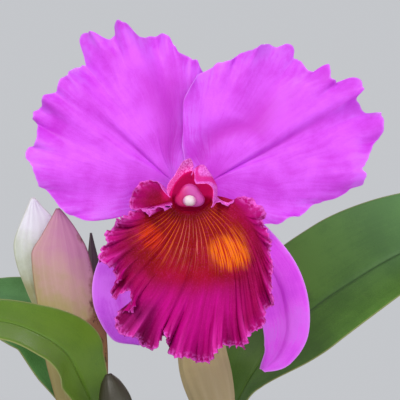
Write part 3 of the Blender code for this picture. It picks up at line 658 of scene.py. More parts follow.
def stem(name, path, radii, rings, sides, finish, squash=1.0, relief=None, values=None):
    """Closed round or flattened stem along a path, from rows of (place, radius).

    relief is a function of the place and the turn that gives a share of the radius.
    """
    places = np.linspace(0, 1, rings + 1)
    centres, _, side, other = frames(path, places)
    turn = np.linspace(0, math.tau, sides, endpoint=False)[None, :]
    radius = curve(radii, places)[:, None] * np.ones_like(turn)
    if relief:
        radius = radius * relief(places[:, None], turn)
    points = (centres[:, None] + side[:, None] * (np.cos(turn) * radius)[..., None]
              + other[:, None] * (np.sin(turn) * radius * squash)[..., None])
    carried = {"around": np.broadcast_to(np.sin(turn), radius.shape).ravel(),
               "along": np.broadcast_to(places[:, None], radius.shape).ravel()}
    for key, numbers in (values or {}).items():
        carried[key] = np.full(radius.size, numbers)
    faces = tube_faces(rings + 1, sides)
    return mesh_object(name, points.reshape(-1, 3), faces, carried, finish)


# Bloom

def bloom_point(angle, radius, forward):
    """Points from angles clockwise from up, seen from the front, and depths."""
    turn = np.radians(angle)
    x = BLOOM[0] + radius * np.sin(turn)
    z = BLOOM[2] + radius * np.cos(turn)
    return np.stack(np.broadcast_arrays(x, BLOOM[1] - forward, z), axis=-1)


LEFT_PETAL = [
    (-112, 19), (-108, 30), (-107, 37), (-104, 47.5), (-99, 54.5), (-94, 59.5), (-91, 62),
    (-85, 68), (-80, 72), (-77, 75), (-75, 76), (-72, 73.5), (-70, 73), (-66, 76), (-64, 78.5),
    (-62, 79.4), (-60, 78.2), (-58, 78), (-56.5, 78.8), (-55, 78.2), (-52, 75.5), (-50.5, 76.8),
    (-49, 77.3), (-46, 77), (-43, 76.8), (-40, 76.3), (-38.5, 75.2), (-37, 79), (-35.5, 86),
    (-34.5, 87.4), (-33, 87), (-31, 86.3), (-29.5, 84.5), (-28, 80.5), (-27, 79), (-25.8, 79.4),
    (-24.5, 83), (-23, 84), (-21, 82.8), (-19.5, 79), (-18, 75.5), (-16, 73.8), (-13, 74),
    (-10, 73.3), (-8, 72.2), (-6.6, 69), (-5, 67), (-4, 65.3), (-2, 63), (1, 61), (3, 60.3),
    (5, 57), (7, 54), (10, 40)]
RIGHT_PETAL = [
    (-9, 22), (-6, 29.5), (-4, 40), (-1, 46), (2, 51.5), (5, 54), (9, 57.5), (14, 61.3),
    (17, 63.8), (19, 65.3), (20.5, 68.2), (24, 71.8), (27, 75.4), (30, 77.6), (32, 79),
    (34, 81.6), (35.3, 81), (36.5, 77.4), (38, 78.4), (39.5, 78), (41, 77.6), (43, 77.2),
    (44.5, 78.6), (46, 83), (47.5, 85), (48.5, 84.6), (49.7, 82), (51, 82.8), (52.5, 83),
    (53.6, 86), (54.6, 89.6), (56, 92), (57.5, 92), (59, 89), (60.5, 86.5), (62.5, 86.4),
    (64, 87.5), (65.5, 92), (67, 94.2), (70, 93), (72, 90), (74, 86.8), (76, 85), (78, 81.2),
    (80, 79), (82, 78), (83.2, 79.5), (84.5, 78.8), (86.5, 77), (88, 72.5), (89.5, 70),
    (91, 65), (92, 60), (94, 57), (96, 54.8), (99, 51), (101, 49), (105, 43.8), (110, 38.5),
    (114, 32), (119, 24)]


def petal_forward(w, angle, reach, midrib, phase, seed):
    """Depth of a petal: it comes forward, then bends back, and its edge is waved."""
    size = (reach / FULL_REACH) ** 2
    out = w * reach / FULL_REACH
    arch = 12 * out - 16 * out * out
    groove = -2.0 * np.exp(-((angle - midrib) / 4) ** 2) * np.sin(math.pi * w)
    wave = 4.4 * size * w ** 3.5 * np.sin(np.radians(angle * PETAL_FOLDS) + phase)
    swell = 1.6 * w * w * size * np.sin(np.radians(angle * PETAL_SWELLS) + phase)
    ruffle = 2.8 * size * w ** 7 * ripple(angle, 25, seed)
    frill = 1.7 * size * w ** 12 * ripple(angle, 52, seed + 30)
    return arch + groove + wave + swell + ruffle + frill


def fan(name, outline, rows, columns, claw, forward, fold_shading, seed):
    """Petal whose rays leave the stalk and reach an outline of (angle, radius)."""
    first, last = outline[0][0], outline[-1][0]
    middle = (first + last) / 2
    angle = np.linspace(first, last, columns + 1)[None, :]
    w = (1 - (1 - np.linspace(0, 1, rows + 1)) ** 1.35)[:, None]
    reach = curve(outline, angle)
    teeth = 0.4 * ripple(angle, 70, seed) + 0.25 * ripple(angle, 150, seed)
    reach = reach + (reach / FULL_REACH) ** 2 * teeth
    radius = PETAL_START + (reach - PETAL_START) * w
    spread = claw + (1 - claw) * smooth(w / 0.45)
    lean = 0.7 * w ** 8 * ripple(angle, 40, seed + 1)
    seen = middle + (angle - middle) * spread + lean
    # Painted shade in the folds, which are also set back a little.
    fold_shade = fold_shading(angle, radius)
    grid = bloom_point(seen, radius, forward(w, angle, reach) - 1.6 * fold_shade)
    sides = np.radians(np.minimum(angle - first, last - angle)) * radius
    rim = np.minimum((1 - w) * reach, sides)
    values = {"turn": angle, "out": radius, "rim": rim, "fold_shade": fold_shade}
    thickness = 0.25 + 0.5 * smooth(rim / 12) + 0.3 * smooth((20 - radius) / 14)
    finish = petal_finish(name.replace("_", " ") + " magenta", (186, 44, 200), (212, 86, 238),
                          (216, 126, 242))
    piece = sheet(name + "_fine", grid, thickness, values, finish, FRONT)
    return dress(piece, "petal_magenta", name)


def petals():
    def left(w, angle, reach):
        tuck = -4.5 * np.minimum(w * reach / 55, 1.0) * smooth((angle + 22) / 26)
        return petal_forward(w, angle, reach, -52, 0.6, 5) + tuck

    # Painted shade where the left petal curves away under the right one, and along its midrib
    # crease.
    def left_fold_shade(angle, radius):
        side = np.exp(-((angle + 13) / 14) ** 2) * smooth((radius - 6) / 12)
        side = side * smooth((70 - radius) / 30)
        crease = 0.4 * np.exp(-((angle + 49) / 2) ** 2) * smooth((radius - 12) / 12)
        return side + crease * smooth((60 - radius) / 20)

    def right(w, angle, reach):
        lift = 4.5 * np.minimum(w * reach / 55, 1.0) * smooth((24 - angle) / 26)
        return petal_forward(w, angle, reach, 62, 2.4, 9) + lift

    # Painted shade in the right petal's broad fold and along its midrib crease.
    def right_fold_shade(angle, radius):
        way = np.minimum(11 + (radius - 22) * 1.6, 42)
        fold = np.exp(-((angle - way) / 10) ** 2) * smooth((radius - 8) / 10)
        fold = fold * smooth((78 - radius) / 40)
        crease = 0.45 * np.exp(-((angle - 60) / 1.8) ** 2) * smooth((radius - 14) / 12)
        return fold + crease * smooth((80 - radius) / 16)

    fan("petal_left", LEFT_PETAL, 72, 400, 0.3, left, left_fold_shade, 21)
    fan("petal_right", RIGHT_PETAL, 72, 400, 0.3, right, right_fold_shade, 22)


def strap(name, midrib, facing, left, right, rows, columns, thickness, fold, finish, relief):
    """Long blade along a midrib, with a half-width on each side of it.

    relief is a function of the place along the blade and across it.
    """
    t = np.linspace(0, 1, rows + 1)
    s = np.linspace(-1, 1, columns + 1)[None, :]
    ahead = heading(midrib, t)
    face = route(facing, t)
    face = unit(face - ahead * np.sum(face * ahead, axis=1, keepdims=True))
    side = np.cross(ahead, face)
    width = np.where(s < 0, curve(left, t)[:, None], curve(right, t)[:, None])
    rise = curve(fold, t)[:, None] * np.abs(s) ** 1.5 + relief(t[:, None], s)
    grid = (route(midrib, t)[:, None] + side[:, None] * (width * s)[..., None]
            + face[:, None] * rise[..., None])
    length = np.sum(np.linalg.norm(np.diff(route(midrib, t), axis=0), axis=1))
    rim = np.minimum((1 - np.abs(s)) * width, (1 - t[:, None]) * length)
    heavy, light = thickness
    thick = light + (heavy - light) * (1 - np.abs(s))
    thick = thick * (0.35 + 0.65 * smooth(rim / 1.5))
    # The middle of the blade carries painted shade along its crease.
    values = {"along": t[:, None], "across": s, "rim": rim, "turn": s * 24,
              "out": t[:, None] * length, "fold_shade": 0.5 * np.exp(-(s / 0.2) ** 2)}
    return sheet(name, grid, thick, values, finish, facing[len(facing) // 2])


def sepal(name, points, half_width, deep, bright, phase):
    """Narrow blade of the bloom from (angle, radius, forward) points."""
    midrib = [bloom_point(*point).tolist() for point in points]

    def wave(t, s):
        roll = 1.1 * s * np.abs(s) * np.sin(9 * t + phase) * smooth(t * 2)
        return roll - 1.4 * np.exp(-(s / 0.09) ** 2) * smooth(t * 3) * (1 - t)

    finish = petal_finish(name.replace("_", " ") + " magenta", deep, bright, (226, 146, 248))
    fold = [(0, 0.0), (0.3, 1.5), (0.7, -1.0), (1, -0.5)]
    piece = strap(name + "_fine", midrib, [FRONT, FRONT], half_width, half_width,
                  120, 40, (1.1, 0.7), fold, finish, wave)
    return dress(piece, "sepal_magenta", name)


def sepals():
    sepal("sepal_dorsal", [(-8, 4.4, -3), (-10, 25, -6), (-11, 48, -12), (-11, 67, -19)],
          [(0, 2.5), (0.3, 12), (0.6, 14.5), (0.85, 9), (1, 0.8)],
          (190, 50, 210), (218, 84, 240), 0.0)
    sepal("sepal_left", [(-130, 4.4, -3), (-132, 30, -7), (-141, 50, -8), (-152, 62, -8),
                         (-162, 71, -10)],
          [(0, 2.5), (0.3, 11), (0.6, 12.5), (0.85, 10), (1, 1.5)],
          (176, 60, 208), (206, 98, 236), 1.2)
    # Painted light: the right sepal's colours are brighter than the others' to offset the lip's
    # shadow on it.
    sepal("sepal_right", [(126, 4.4, -3), (128, 28, -7), (134, 53, -9), (143, 72, -8),
                          (150.5, 81.5, -6), (157.5, 85, -2)],
          [(0, 2.5), (0.24, 11), (0.48, 11.5), (0.64, 10.5), (0.8, 7.5), (0.92, 4), (1, 1.2)],
          (212, 60, 232), (238, 96, 250), 2.0)


# Rows round the lip, from the seam over the column down the left side, round
# the bottom and up the right side: angle at the tube's mouth, then angle,
# radius and depth of the margin.
LIP_MARGIN = [
    (-6, -8, 12.5, 26), (0, -1, 15.7, 28), (10, 9, 14.9, 29), (22, 22, 12.4, 30),
    (40, 43, 10.3, 31), (54, 64, 10.2, 32), (62, 80, 9.8, 32.5), (70, 97, 8.3, 33.5),
    (76, 80, 11.5, 30), (80, 68, 14.8, 28), (86, 70, 18.8, 26.5), (91, 75, 21.3, 25),
    (95, 81, 23.2, 24), (99, 91, 25.6, 22.5), (102.5, 99, 26.6, 22), (105, 105, 24.8, 23),
    (107, 108, 20, 25), (109.5, 111.5, 14, 29), (112.5, 118, 9.6, 33.5),
    (116.1, 124.6, 11.8, 35.5), (116.4, 115.6, 12.7, 35.5), (116.8, 110.8, 15.5, 34.5),
    (117.2, 115.8, 18.1, 36), (117.4, 117.2, 19.7, 35.5), (117.8, 110.6, 20.7, 33.5),
    (118.1, 105.5, 22.6, 32.5), (118.7, 105.8, 26, 32), (120.5, 108.6, 28.2, 33.5),
    (121.2, 109.1, 31.4, 31.5), (122.1, 109.9, 35.3, 30), (124.3, 113.9, 35.8, 32.5),
    (124.8, 113.7, 39, 30.5), (126.4, 116.4, 40.5, 30), (128.9, 120.5, 41.4, 32.5),
    (129.7, 121.3, 44.2, 30), (132.2, 125, 46.4, 29.5), (135.7, 128.2, 46.9, 32),
    (139.8, 131.9, 47, 34.5), (146.2, 137.6, 46.2, 36.5), (149.3, 140.7, 46.2, 36),
    (149.9, 140.2, 50.7, 32), (152, 142, 54.6, 30.5), (154.8, 144.4, 54.4, 33),
    (157.4, 146.3, 49.4, 36), (162.1, 152.2, 50.3, 36), (163.5, 153.8, 54.6, 33.5),
    (164.1, 151.6, 58.2, 31.5), (164.6, 148.6, 59.7, 30.5), (165.1, 149, 62.2, 29),
    (167.3, 152, 65.7, 29.5), (172.8, 157.6, 66.7, 30.5), (178.3, 162.3, 67.9, 29.5),
    (183.9, 167.2, 67.7, 30.5), (185.6, 168.5, 65, 32), (186.3, 168.8, 62, 33),
    (187.9, 170, 59.4, 33.5), (189.5, 171.2, 62, 32.5), (190.3, 171.6, 65, 31),
    (191.6, 172.5, 67.7, 30), (195.1, 175.5, 69.7, 31.5), (199.2, 179, 70.7, 29.5),
    (203.2, 182.4, 72.4, 28.5), (206.6, 185.3, 72.1, 29), (209.8, 188, 70.2, 31),
    (212.5, 190.2, 68, 33), (216.2, 193.4, 67.5, 34.5), (220.9, 197.5, 68.3, 33.5),
    (224.6, 200.7, 68.3, 31), (227.7, 203.3, 65.8, 33.5), (232.8, 207.7, 64.9, 31),
    (237.4, 211.6, 62.4, 29.5), (239.1, 213, 60.2, 32), (242.4, 215.9, 59.7, 30),
    (246.1, 218.9, 55.8, 31.5), (250.2, 222.7, 52.6, 29.5), (251.79, 226, 48.9, 31.5),
    (253.14, 228.9, 47.6, 29), (254.61, 232, 45.2, 30.5), (256.03, 235, 42, 29),
    (258.03, 239.5, 40.5, 27), (259.21, 243.7, 38.3, 28.5), (259.99, 246.8, 36.8, 26.5),
    (260.84, 250, 33.6, 28.5), (261.82, 254.3, 33.3, 26), (263.21, 260, 31.7, 26.5),
    (263.98, 263, 29.2, 25), (265, 267.3, 27, 25), (266.56, 268.3, 23, 25.5),
    (267.34, 266, 20, 26.5), (267.81, 259.5, 18.4, 28.5), (268.44, 254, 16.2, 29.5),
    (269.06, 257, 13.4, 31.5), (269.69, 247, 11, 33), (270, 240, 10.6, 33.5),
    (273.14, 247, 10.8, 33), (281, 262, 10.2, 33.5), (291.27, 282, 10.4, 33.5),
    (303, 299, 9.4, 33.5), (316.89, 313, 7.2, 33), (328, 330, 5.6, 33), (336.67, 340, 6.4, 31),
    (345.33, 346, 9, 28.5), (354, 352, 11, 26)]
# Radius of the tube's mouth at angles round it
LIP_MOUTH = [
    (-6, 10.6), (20, 9.2), (45, 8.2), (70, 8.0), (100, 8.2), (130, 8.4), (180, 7.5), (235, 9.0),
    (256, 10.2), (270, 10.2), (285, 11.4), (305, 12.2), (322, 12.9), (335, 14.0), (345, 12.4),
    (354, 8.6)]
# Strength of the ruffled edge at angles round the lip
LIP_FRILL = [
    (-6, 0), (76, 0), (84, 0.35), (103, 0.4), (114, 0.8), (128, 1.0), (160, 0.9), (200, 1.0),
    (222, 1.0), (240, 0.8), (256, 0.7), (264, 0.6), (270, 0.15), (275, 0), (354, 0)]
# Lengths of the small and the broad ruffles, and the angles the blade lies between
RUFFLE = 6.5
BROAD_RUFFLE = 15.0
BLADE_FROM = 116
BLADE_TO = 270
LIP_TUBE_ROWS = 8
LIP_BLADE_ROWS = 50
LIP_COLUMNS = 820


def lip():
    """Lip with its tube round the column, side lobes and frilled blade."""
    rows = np.array(LIP_MARGIN, dtype=float)
    first, last = rows[0, 0], rows[-1, 0]
    corners = bloom_point(rows[:, 1], rows[:, 2], rows[:, 3])
    walked = np.append(0.0, np.cumsum(np.linalg.norm(np.diff(corners, axis=0), axis=1)))
    share = 0.7 * walked / walked[-1] + 0.3 * (rows[:, 0] - first) / (last - first)
    step = np.interp(np.linspace(0, 1, LIP_COLUMNS + 1), share, rows[:, 0])[None, :]
    edge = np.interp(step, rows[:, 0], walked)
    tube = np.linspace(0, 1, LIP_TUBE_ROWS + 1)[:, None]
    w = (1 - (1 - np.linspace(0, 1, LIP_BLADE_ROWS + 1)[1:]) ** 1.3)[:, None]
    mouth = curve(LIP_MOUTH, step)
    inner_radius = curve([(0, 4.7), (0.4, 7.0), (1, 7.0)], tube) + (mouth - 7.0) * tube
    inner_forward = curve([(0, 2.5), (0.35, 8.0), (1, MOUTH_FORWARD)], tube) + 0 * step
    inner = bloom_point(-step + 0 * tube, inner_radius, inner_forward)

    margin = curve(LIP_MARGIN, step)
    blade = smooth((step - BLADE_FROM) / 8) * smooth((BLADE_TO - step) / 8)
    part = np.flatnonzero(blade[0] > 0)
    window = np.hanning(LIP_COLUMNS // 6 * 2 + 1)
    calm = margin.copy()
    for way in range(3):
        row = np.pad(margin[0, part, way], len(window) // 2, "edge")
        mild = np.convolve(row, window / window.sum(), "valid")
        calm[0, part, way] += (mild - margin[0, part, way]) * blade[0, part]
    turned, reach, depth = np.moveaxis(margin, -1, 0)
    plain_turn, plain_reach, plain_depth = np.moveaxis(calm, -1, 0)
    size = np.clip((reach - 16) / 50, 0, 1)
    frill = curve(LIP_FRILL, step)
    uneven = frill * (0.8 + 0.4 * ripple(edge, 12, 11))
    fold = math.tau * edge / RUFFLE + 1.6 * ripple(edge, 9, 3)
    wide = 0.8 + math.tau * edge / BROAD_RUFFLE + 1.2 * ripple(edge, 6, 13)
    wide = wide + 3.0 * (1 - w) * ripple(edge, 14, 14)
    angle = step + (plain_turn - step) * smooth(w) + (turned - plain_turn) * w ** 5
    angle = angle + np.degrees(uneven * 0.9 * w ** 8 * np.sin(2 * fold) / reach)
    radius = mouth + (plain_reach - mouth) * w + (reach - plain_reach) * w ** 5
    radius += np.where(reach < mouth + 1, 1.2, 0.0) * np.sin(math.pi * w)
    radius -= uneven * w ** 10 * (0.5 * np.sin(fold) - 0.6 * ripple(edge, 95, 5))
    radius += frill * 0.35 * w ** 16 * ripple(edge, 170, 4)
    radius += uneven * 1.2 * w ** 6 * np.cos(wide)
    forward = MOUTH_FORWARD + (plain_depth - MOUTH_FORWARD) * w ** 1.6
    forward += (depth - plain_depth) * w ** 6 + 7 * size * np.sin(math.pi * w)
    forward += uneven * (1.7 * w ** 8 * np.sin(fold) + 1.1 * w ** 8 * ripple(edge, 95, 7))
    forward += uneven * 4.4 * w ** 6 * np.sin(wide)
    forward += 0.35 * frill * w ** 14 * ripple(edge, 170, 9)
    pleated = smooth((step - 216) / 12) * smooth((262 - step) / 12)
    forward += 0.7 * pleated * w ** 1.5 * np.sin(math.pi * w ** 2) * ripple(edge, 110, 8)
    # Painted light and shade on the ruffles: lighter where they come forward, darker where they go
    # back.
    ruffle_shading = np.clip(uneven, 0, 1) * (0.8 * w ** 7 * np.sin(wide) + 0.5 * w ** 9 * np.sin(fold))
    outer = bloom_point(-angle, radius, forward)

    grid = np.concatenate([inner, outer])
    to_margin = (1 - w) * np.abs(reach - mouth)
    rim = np.concatenate([np.full(inner.shape[:2], 30.0), to_margin])
    seam = np.minimum(step - first, last - step) * 0.2
    rim = np.minimum(rim, seam + np.concatenate([np.full(tube.shape, 12.0), 0 * w]))
    out = np.concatenate([mouth * inner_forward / MOUTH_FORWARD, radius])
    thickness = 0.3 + 0.5 * smooth(rim / 10)
    ruffle_shading = np.concatenate([np.zeros(inner.shape[:2]), ruffle_shading])
    values = {"turn": step, "out": out, "rim": rim, "ruffle_shading": ruffle_shading}
    piece = sheet("lip_fine", grid, thickness, values, lip_finish(), FRONT)
    return dress(piece, "lip_crimson", "lip")


def column():
    """Column in the throat and the pale cap on its tip."""
    start = KNOB_RADIUS + GAP
    path = [bloom_point(0, 0.0, start), bloom_point(0, 0.6, 13), bloom_point(180, 0.3, 21),
            bloom_point(180, 1.2, 27)]
    radii = [(0, 2.6), (0.3, 3.4), (0.6, 4.9), (0.85, 6.3), (0.94, 5.8), (0.98, 4.8), (1, 3.4)]

    def winged(t, turn):
        peak = np.cos(3 * (turn - 1.5 * math.pi))
        return 1 + 0.13 * smooth((t - 0.3) / 0.5) * peak

    body = stem("column_fine", path, radii, 80, 96, column_finish(), 0.8, winged)
    dress(body, "column_pink", "column")
    tip = [bloom_point(180, 2.3, 27 + GAP), bloom_point(180, 2.6, 28.5), bloom_point(180, 3.1, 30)]

    radii = [(0, 2.2), (0.15, 2.8), (0.45, 2.95), (0.75, 2.3), (0.93, 1.2), (1, 0.3)]

    def lobed(t, turn):
        return 1 - 0.14 * np.exp(-((turn - 4.71) / 0.25) ** 2) * t

    cap = stem("anther_cap_fine", tip, radii, 36, 60, cap_finish(), 0.8, lobed)
    dress(cap, "anther_cream", "anther_cap")


def stalk_path():
    """Route of the flower's stalk from the lead growth's top to the back of the bloom."""
    x, y, z = LEAD_TOP
    return [(x - 3, y - 1, z + GAP), (x - 3, y - 1, z + 12), (x - 9, y - 1, z + 38),
            (4, -2, z + 68), (2, -5, z + 94), (0, -9, BLOOM[2] - 5), (0, -18, BLOOM[2]),
            (0, BLOOM[1] + 5, BLOOM[2]), (0, BLOOM[1], BLOOM[2]),
            (0, BLOOM[1] - KNOB_RADIUS, BLOOM[2])]


def stalk():
    """Flower's stalk, with the swollen ribbed ovary and the rounded end."""
    radii = [(0, 2.4), (0.3, 2.5), (0.45, 2.9), (0.6, 3.3), (0.75, 3.2), (0.8, 3.3), (0.84, 4.1),
             (0.889, KNOB_RADIUS), (0.93, 4.3), (0.97, 3.1), (1, 0.7)]

    def ribbed(t, turn):
        swollen = smooth((t - 0.4) / 0.15) * smooth((0.82 - t) / 0.06)
        return 1 + 0.05 * swollen * np.cos(6 * turn)

    finish = bulb_finish("stalk green", (104, 136, 70), (150, 160, 104))
    piece = stem("flower_stalk_fine", stalk_path(), radii, 200, 40, finish, 1.0, ribbed)
    dress(piece, "stalk_green", "flower_stalk")


# Leaves and sheaths

def leaf(name, midrib, facing, left, right, fold, colours):
    """Strap leaf with a sunk midrib on its upper face."""

    def groove(t, s):
        channel = -0.9 * np.exp(-(s / 0.05) ** 2) * smooth(t * 8) * smooth((1 - t) * 6)
        return channel + 0.5 * np.sin(11 * t + 2 * s) * np.abs(s) ** 2 * smooth(t * 2)

    piece = strap(name + "_fine", midrib, facing, left, right, 170, 56, (2.2, 1.0), fold,
                  leaf_finish(name.replace("_", " ") + " green", *colours), groove)
    return dress(piece, "leaf_green", name)


def leaves():
    x, y, z = LEAD_TOP
    leaf("leaf_right",
         [(x + 5.4, y + 2, z + GAP), (x + 5.6, y + 3, z + 9), (26, 14, 281), (37, 20, 297),
          (57, 29, 316), (80, 38, 331), (104, 45, 344), (134, 52, 354), (166, 58, 358),
          (196, 62, 352)],
         [(-1.0, -0.2, 0.3), (-0.5, -0.8, 0.3), (-0.25, -0.9, 0.35), (-0.25, -0.85, 0.5)],
         [(0, 3.4), (0.12, 6), (0.25, 15), (0.36, 28), (0.46, 35), (0.56, 35), (0.67, 31),
          (0.8, 23), (0.93, 12), (1, 1.5)],
         [(0, 3.4), (0.12, 6), (0.25, 14), (0.42, 24), (0.58, 21), (0.8, 15), (0.93, 9), (1, 1.5)],
         [(0, 0.8), (0.12, 1.5), (0.25, 4), (0.5, 4), (1, 1)],
         ((60, 98, 22), (82, 124, 40), (102, 146, 98), 0.6))
    x, y, z = LEFT_TOP
    leaf("leaf_left",
         [(x, y, z + GAP), (x, y, z + 8), (-45, -37, 282), (-49.5, -43, 293), (-54, -49, 302.5),
          (-64, -56, 310.5), (-80, -62, 317), (-106, -67, 318), (-140, -71, 309),
          (-172, -74, 292)],
         [(0.75, -0.6, 0.2), (0.5, -0.75, 0.4), (0.2, -0.55, 0.8), (0, -0.4, 0.9)],
         [(0, 3.6), (0.15, 8), (0.3, 13), (0.44, 15.5), (0.55, 13.5), (0.8, 13.5), (0.93, 9),
          (1, 1.5)],
         [(0, 3.6), (0.15, 7), (0.3, 14), (0.42, 19), (0.52, 17), (0.66, 13.5), (0.8, 13),
          (0.93, 9), (1, 1.5)],
         [(0, 2.5), (0.2, 5), (0.5, 3), (1, 1)],
         ((74, 106, 20), (90, 122, 30), (92, 122, 36), 0.12))
    x, y, z = MIDDLE_TOP
    half_width = [(0, 3.2), (0.15, 8), (0.35, 18), (0.55, 21), (0.8, 16), (0.93, 9), (1, 1.5)]
    leaf("leaf_far_left",
         [(x - 1, y + 4, z + GAP), (x - 1, y + 5, z + 9), (-58, 9, 288), (-66, 15, 307),
          (-78, 20, 315), (-93, 24, 319), (-121, 28, 319), (-156, 30, 306), (-186, 31, 286)],
         [(0.1, -1, 0.1), (0.1, -0.9, 0.4), (0.05, -0.5, 0.85), (0, -0.3, 0.9)],
         half_width, half_width, [(0, 2), (0.2, 4), (0.5, 3), (1, 1)],
         ((50, 92, 36), (74, 120, 62), (102, 146, 108), 0.3))


def sheath(name, foot, path, facing, left, right, rows, columns, fold, finish):
    """Papery sheath that stands on a growth's top and follows a path from its foot."""
    x, y, z = foot
    midrib = [(x, y, z + GAP), (x, y, z + 9), *path]

    def crumple(t, s):
        return 0.07 * np.sin(s * 17 + 2 * np.sin(5 * t)) * smooth(t * 6)

    piece = strap(name + "_fine", midrib, facing, left, right, rows, columns, (0.9, 0.7), fold,
                  finish, crumple)
    dress(piece, name, name)


def sheaths():
    """Papery sheaths on the tops of the growths, and the cream one round the stalk."""
    x, y, z = MIDDLE_TOP
    sheath("sheath_pink", (x + 1, y - 4.2, z),
           [(-51, -14, 292), (-53, -17, 314), (-57.5, -18, 338), (-60, -18, 366)],
           [(0.1, -1, 0), (0.1, -1, 0.1)],
           [(0, 4), (0.3, 12), (0.55, 15), (0.72, 14.2), (0.86, 13.6), (0.92, 8.2), (0.97, 3.5),
            (1, 0.8)],
           [(0, 4), (0.3, 13), (0.55, 14.5), (0.79, 13.3), (0.86, 11.9), (0.92, 8.3), (0.97, 4),
            (1, 0.8)],
           110, 44, [(0, -0.5), (0.3, -4), (0.7, -4), (1, -0.5)],
           papery_finish("sheath pink", (180, 120, 152), (184, 142, 142), (156, 142, 90),
                         (120, 78, 50), 0.0))
    sheath("sheath_white", (x - 2, y - 0.8, z),
           [(-58, -6, 294), (-65, -9, 316), (-70, -10, 340), (-72, -10, 371)],
           [(0.2, -1, 0), (0.2, -1, 0.1)],
           [(0, 3.5), (0.4, 5), (0.62, 4.8), (0.72, 6.8), (0.86, 10), (0.945, 5.1), (1, 0.8)],
           [(0, 3.5), (0.3, 9), (0.6, 12), (0.8, 12), (0.9, 10.5), (0.94, 8.5), (0.97, 4.4),
            (1, 0.8)],
           90, 36, [(0, -0.5), (0.5, -2.5), (1, -0.5)],
           papery_finish("sheath white", (216, 216, 224), (184, 190, 176), (138, 136, 96),
                         (150, 150, 118), 2.4))
    half_width = [(0, 3.5), (0.4, 5), (0.8, 4.2), (1, 0.4)]
    sheath("sheath_grey", OLD_TOP, [(-47, 35, 292), (-46, 33, 322), (-48, 32, 354)],
           [(0.1, -1, 0), (0.1, -1, 0)], half_width, half_width,
           70, 20, [(0, -0.5), (0.4, -3), (1, -1)],
           papery_finish("sheath grey brown", (70, 54, 62), (84, 70, 66), (96, 82, 66),
                         (52, 40, 38), 0.3))
    cream = rolled("sheath_cream_fine", stalk_path(), (0.0, 0.3),
                   [(0, 4.2), (0.09, 7.5), (0.2, 11.5), (0.3, 9)],
                   [(0, 3.8), (0.1, 4.8), (0.21, 5.5), (0.3, 4.5)], 340, 80, 110, 8,
                   papery_finish("sheath cream", (168, 152, 104), (178, 160, 116),
                                 (160, 144, 108), (96, 78, 54), 0.75))
    dress(cream, "sheath_cream", "sheath_cream")


def rolled(name, path, share, half_width, half_depth, sweep, rows, columns, slant, finish):
    """Sheet rolled round part of a path, open at the back and cut aslant at the top."""
    start, end = share
    places = np.linspace(start, end, rows + 1)
    centres, ahead, side, other = frames(path, places)
    s = np.linspace(-1, 1, columns + 1)[None, :]
    turn = np.radians(sweep / 2) * s
    t = ((places - start) / (end - start))[:, None]
    ripples = 1 + 0.02 * np.sin(s * 40 + 3 * np.sin(4 * t)) * smooth(t * 4)
    wide = curve(half_width, places)[:, None] * np.sin(turn) * ripples
    deep = curve(half_depth, places)[:, None] * np.cos(turn) * ripples
    rise = slant * (places[:, None] / places[-1]) ** 3 * np.cos(turn)
    rise = rise + 0.9 * t ** 6 * ripple(s * 180, 14, len(name))
    grid = (centres[:, None] + side[:, None] * wide[..., None] + other[:, None] * deep[..., None]
            + ahead[:, None] * rise[..., None])
    rim = np.minimum((1 - t) * 40, (1 - np.abs(s)) * 20)
    values = {"along": t, "across": s, "rim": rim}
    return sheet(name, grid, 0.45 + 0.2 * smooth(rim / 3), values, finish, FRONT)


# Growths

BULB_RADII = [(0, 3.6), (0.1, 5.2), (0.22, 6.3), (0.35, 7.5), (0.48, 9.0), (0.62, BULB_RADIUS),
              (0.75, BULB_RADIUS), (0.87, 8.2), (0.95, 6.6), (1, 6.2)]


def growth(name, foot, top, green, tint, bract_share):
    """Pseudobulb on the rhizome with a papery bract round its foot."""
    foot_point = np.array((*foot, FOOT_HEIGHT))
    top_point = np.array(top)
    lean = np.array((*(top_point[:2] - foot_point[:2]), 0)) * 0.08
    middle = (foot_point + top_point) / 2 - lean
    up = np.array((0, 0, 9))
    path = [foot_point, foot_point + up * 2, middle, top_point - up * 2, top_point]

    def fluted(t, turn):
        return 1 + 0.03 * np.cos(6 * turn + 0.6 * np.sin(7 * t)) + 0.012 * np.cos(17 * turn)

    bulb = stem("pseudobulb_" + name + "_fine", path, BULB_RADII, 120, 72,
                bulb_finish("bulb green " + name, green, tint), 0.86, fluted)
    dress(bulb, "bulb_green", "pseudobulb_" + name)
    places = np.linspace(0.04, bract_share, 9)
    widths = [(t, float(curve(BULB_RADII, t)) * 1.05 + GAP + 0.5) for t in places]
    finish = papery_finish("bract tan " + name, (206, 188, 150), (190, 168, 128),
                           (158, 128, 88), (120, 90, 58), 0.5)
    bract = rolled("bract_" + name + "_fine", path, (0.04, bract_share), widths, widths,
                   330, 60, 90, 7, finish)
    dress(bract, "bract_tan", "bract_" + name)


def growths():
    growth("lead", LEAD_FOOT, LEAD_TOP, (98, 126, 52), (136, 154, 84), 0.5)
    growth("left", LEFT_FOOT, LEFT_TOP, (94, 120, 50), (130, 146, 80), 0.45)
    growth("middle", MIDDLE_FOOT, MIDDLE_TOP, (96, 114, 52), (134, 142, 84), 0.5)
    growth("old", OLD_FOOT, OLD_TOP, (110, 112, 60), (148, 140, 92), 0.4)
    foot = (*NEW_FOOT, FOOT_HEIGHT)
    path = [foot, (-2, -41, 165), (-12, -47, 215), (-27, -50, 262), NEW_TIP]
    radii = [(0, 3.6), (0.15, 5.6), (0.3, 6.6), (0.45, 7.4), (0.6, 8.2), (0.78, 8.6), (0.9, 7.6),
             (0.97, 4.6), (1, 1.4)]

    def sheathed(t, turn):
        step = 0.05 * smooth((0.62 - t) / 0.02) + 0.04 * smooth((0.3 - t) / 0.02)
        return 0.95 + step + 0.01 * np.cos(9 * turn)

    finish = bulb_finish("new growth olive", (84, 96, 50), (98, 88, 62), 0.95)
    piece = stem("new_growth_fine", path, radii, 160, 64, finish, 0.8, sheathed)
    dress(piece, "new_growth", "new_growth")


# Rhizome and roots

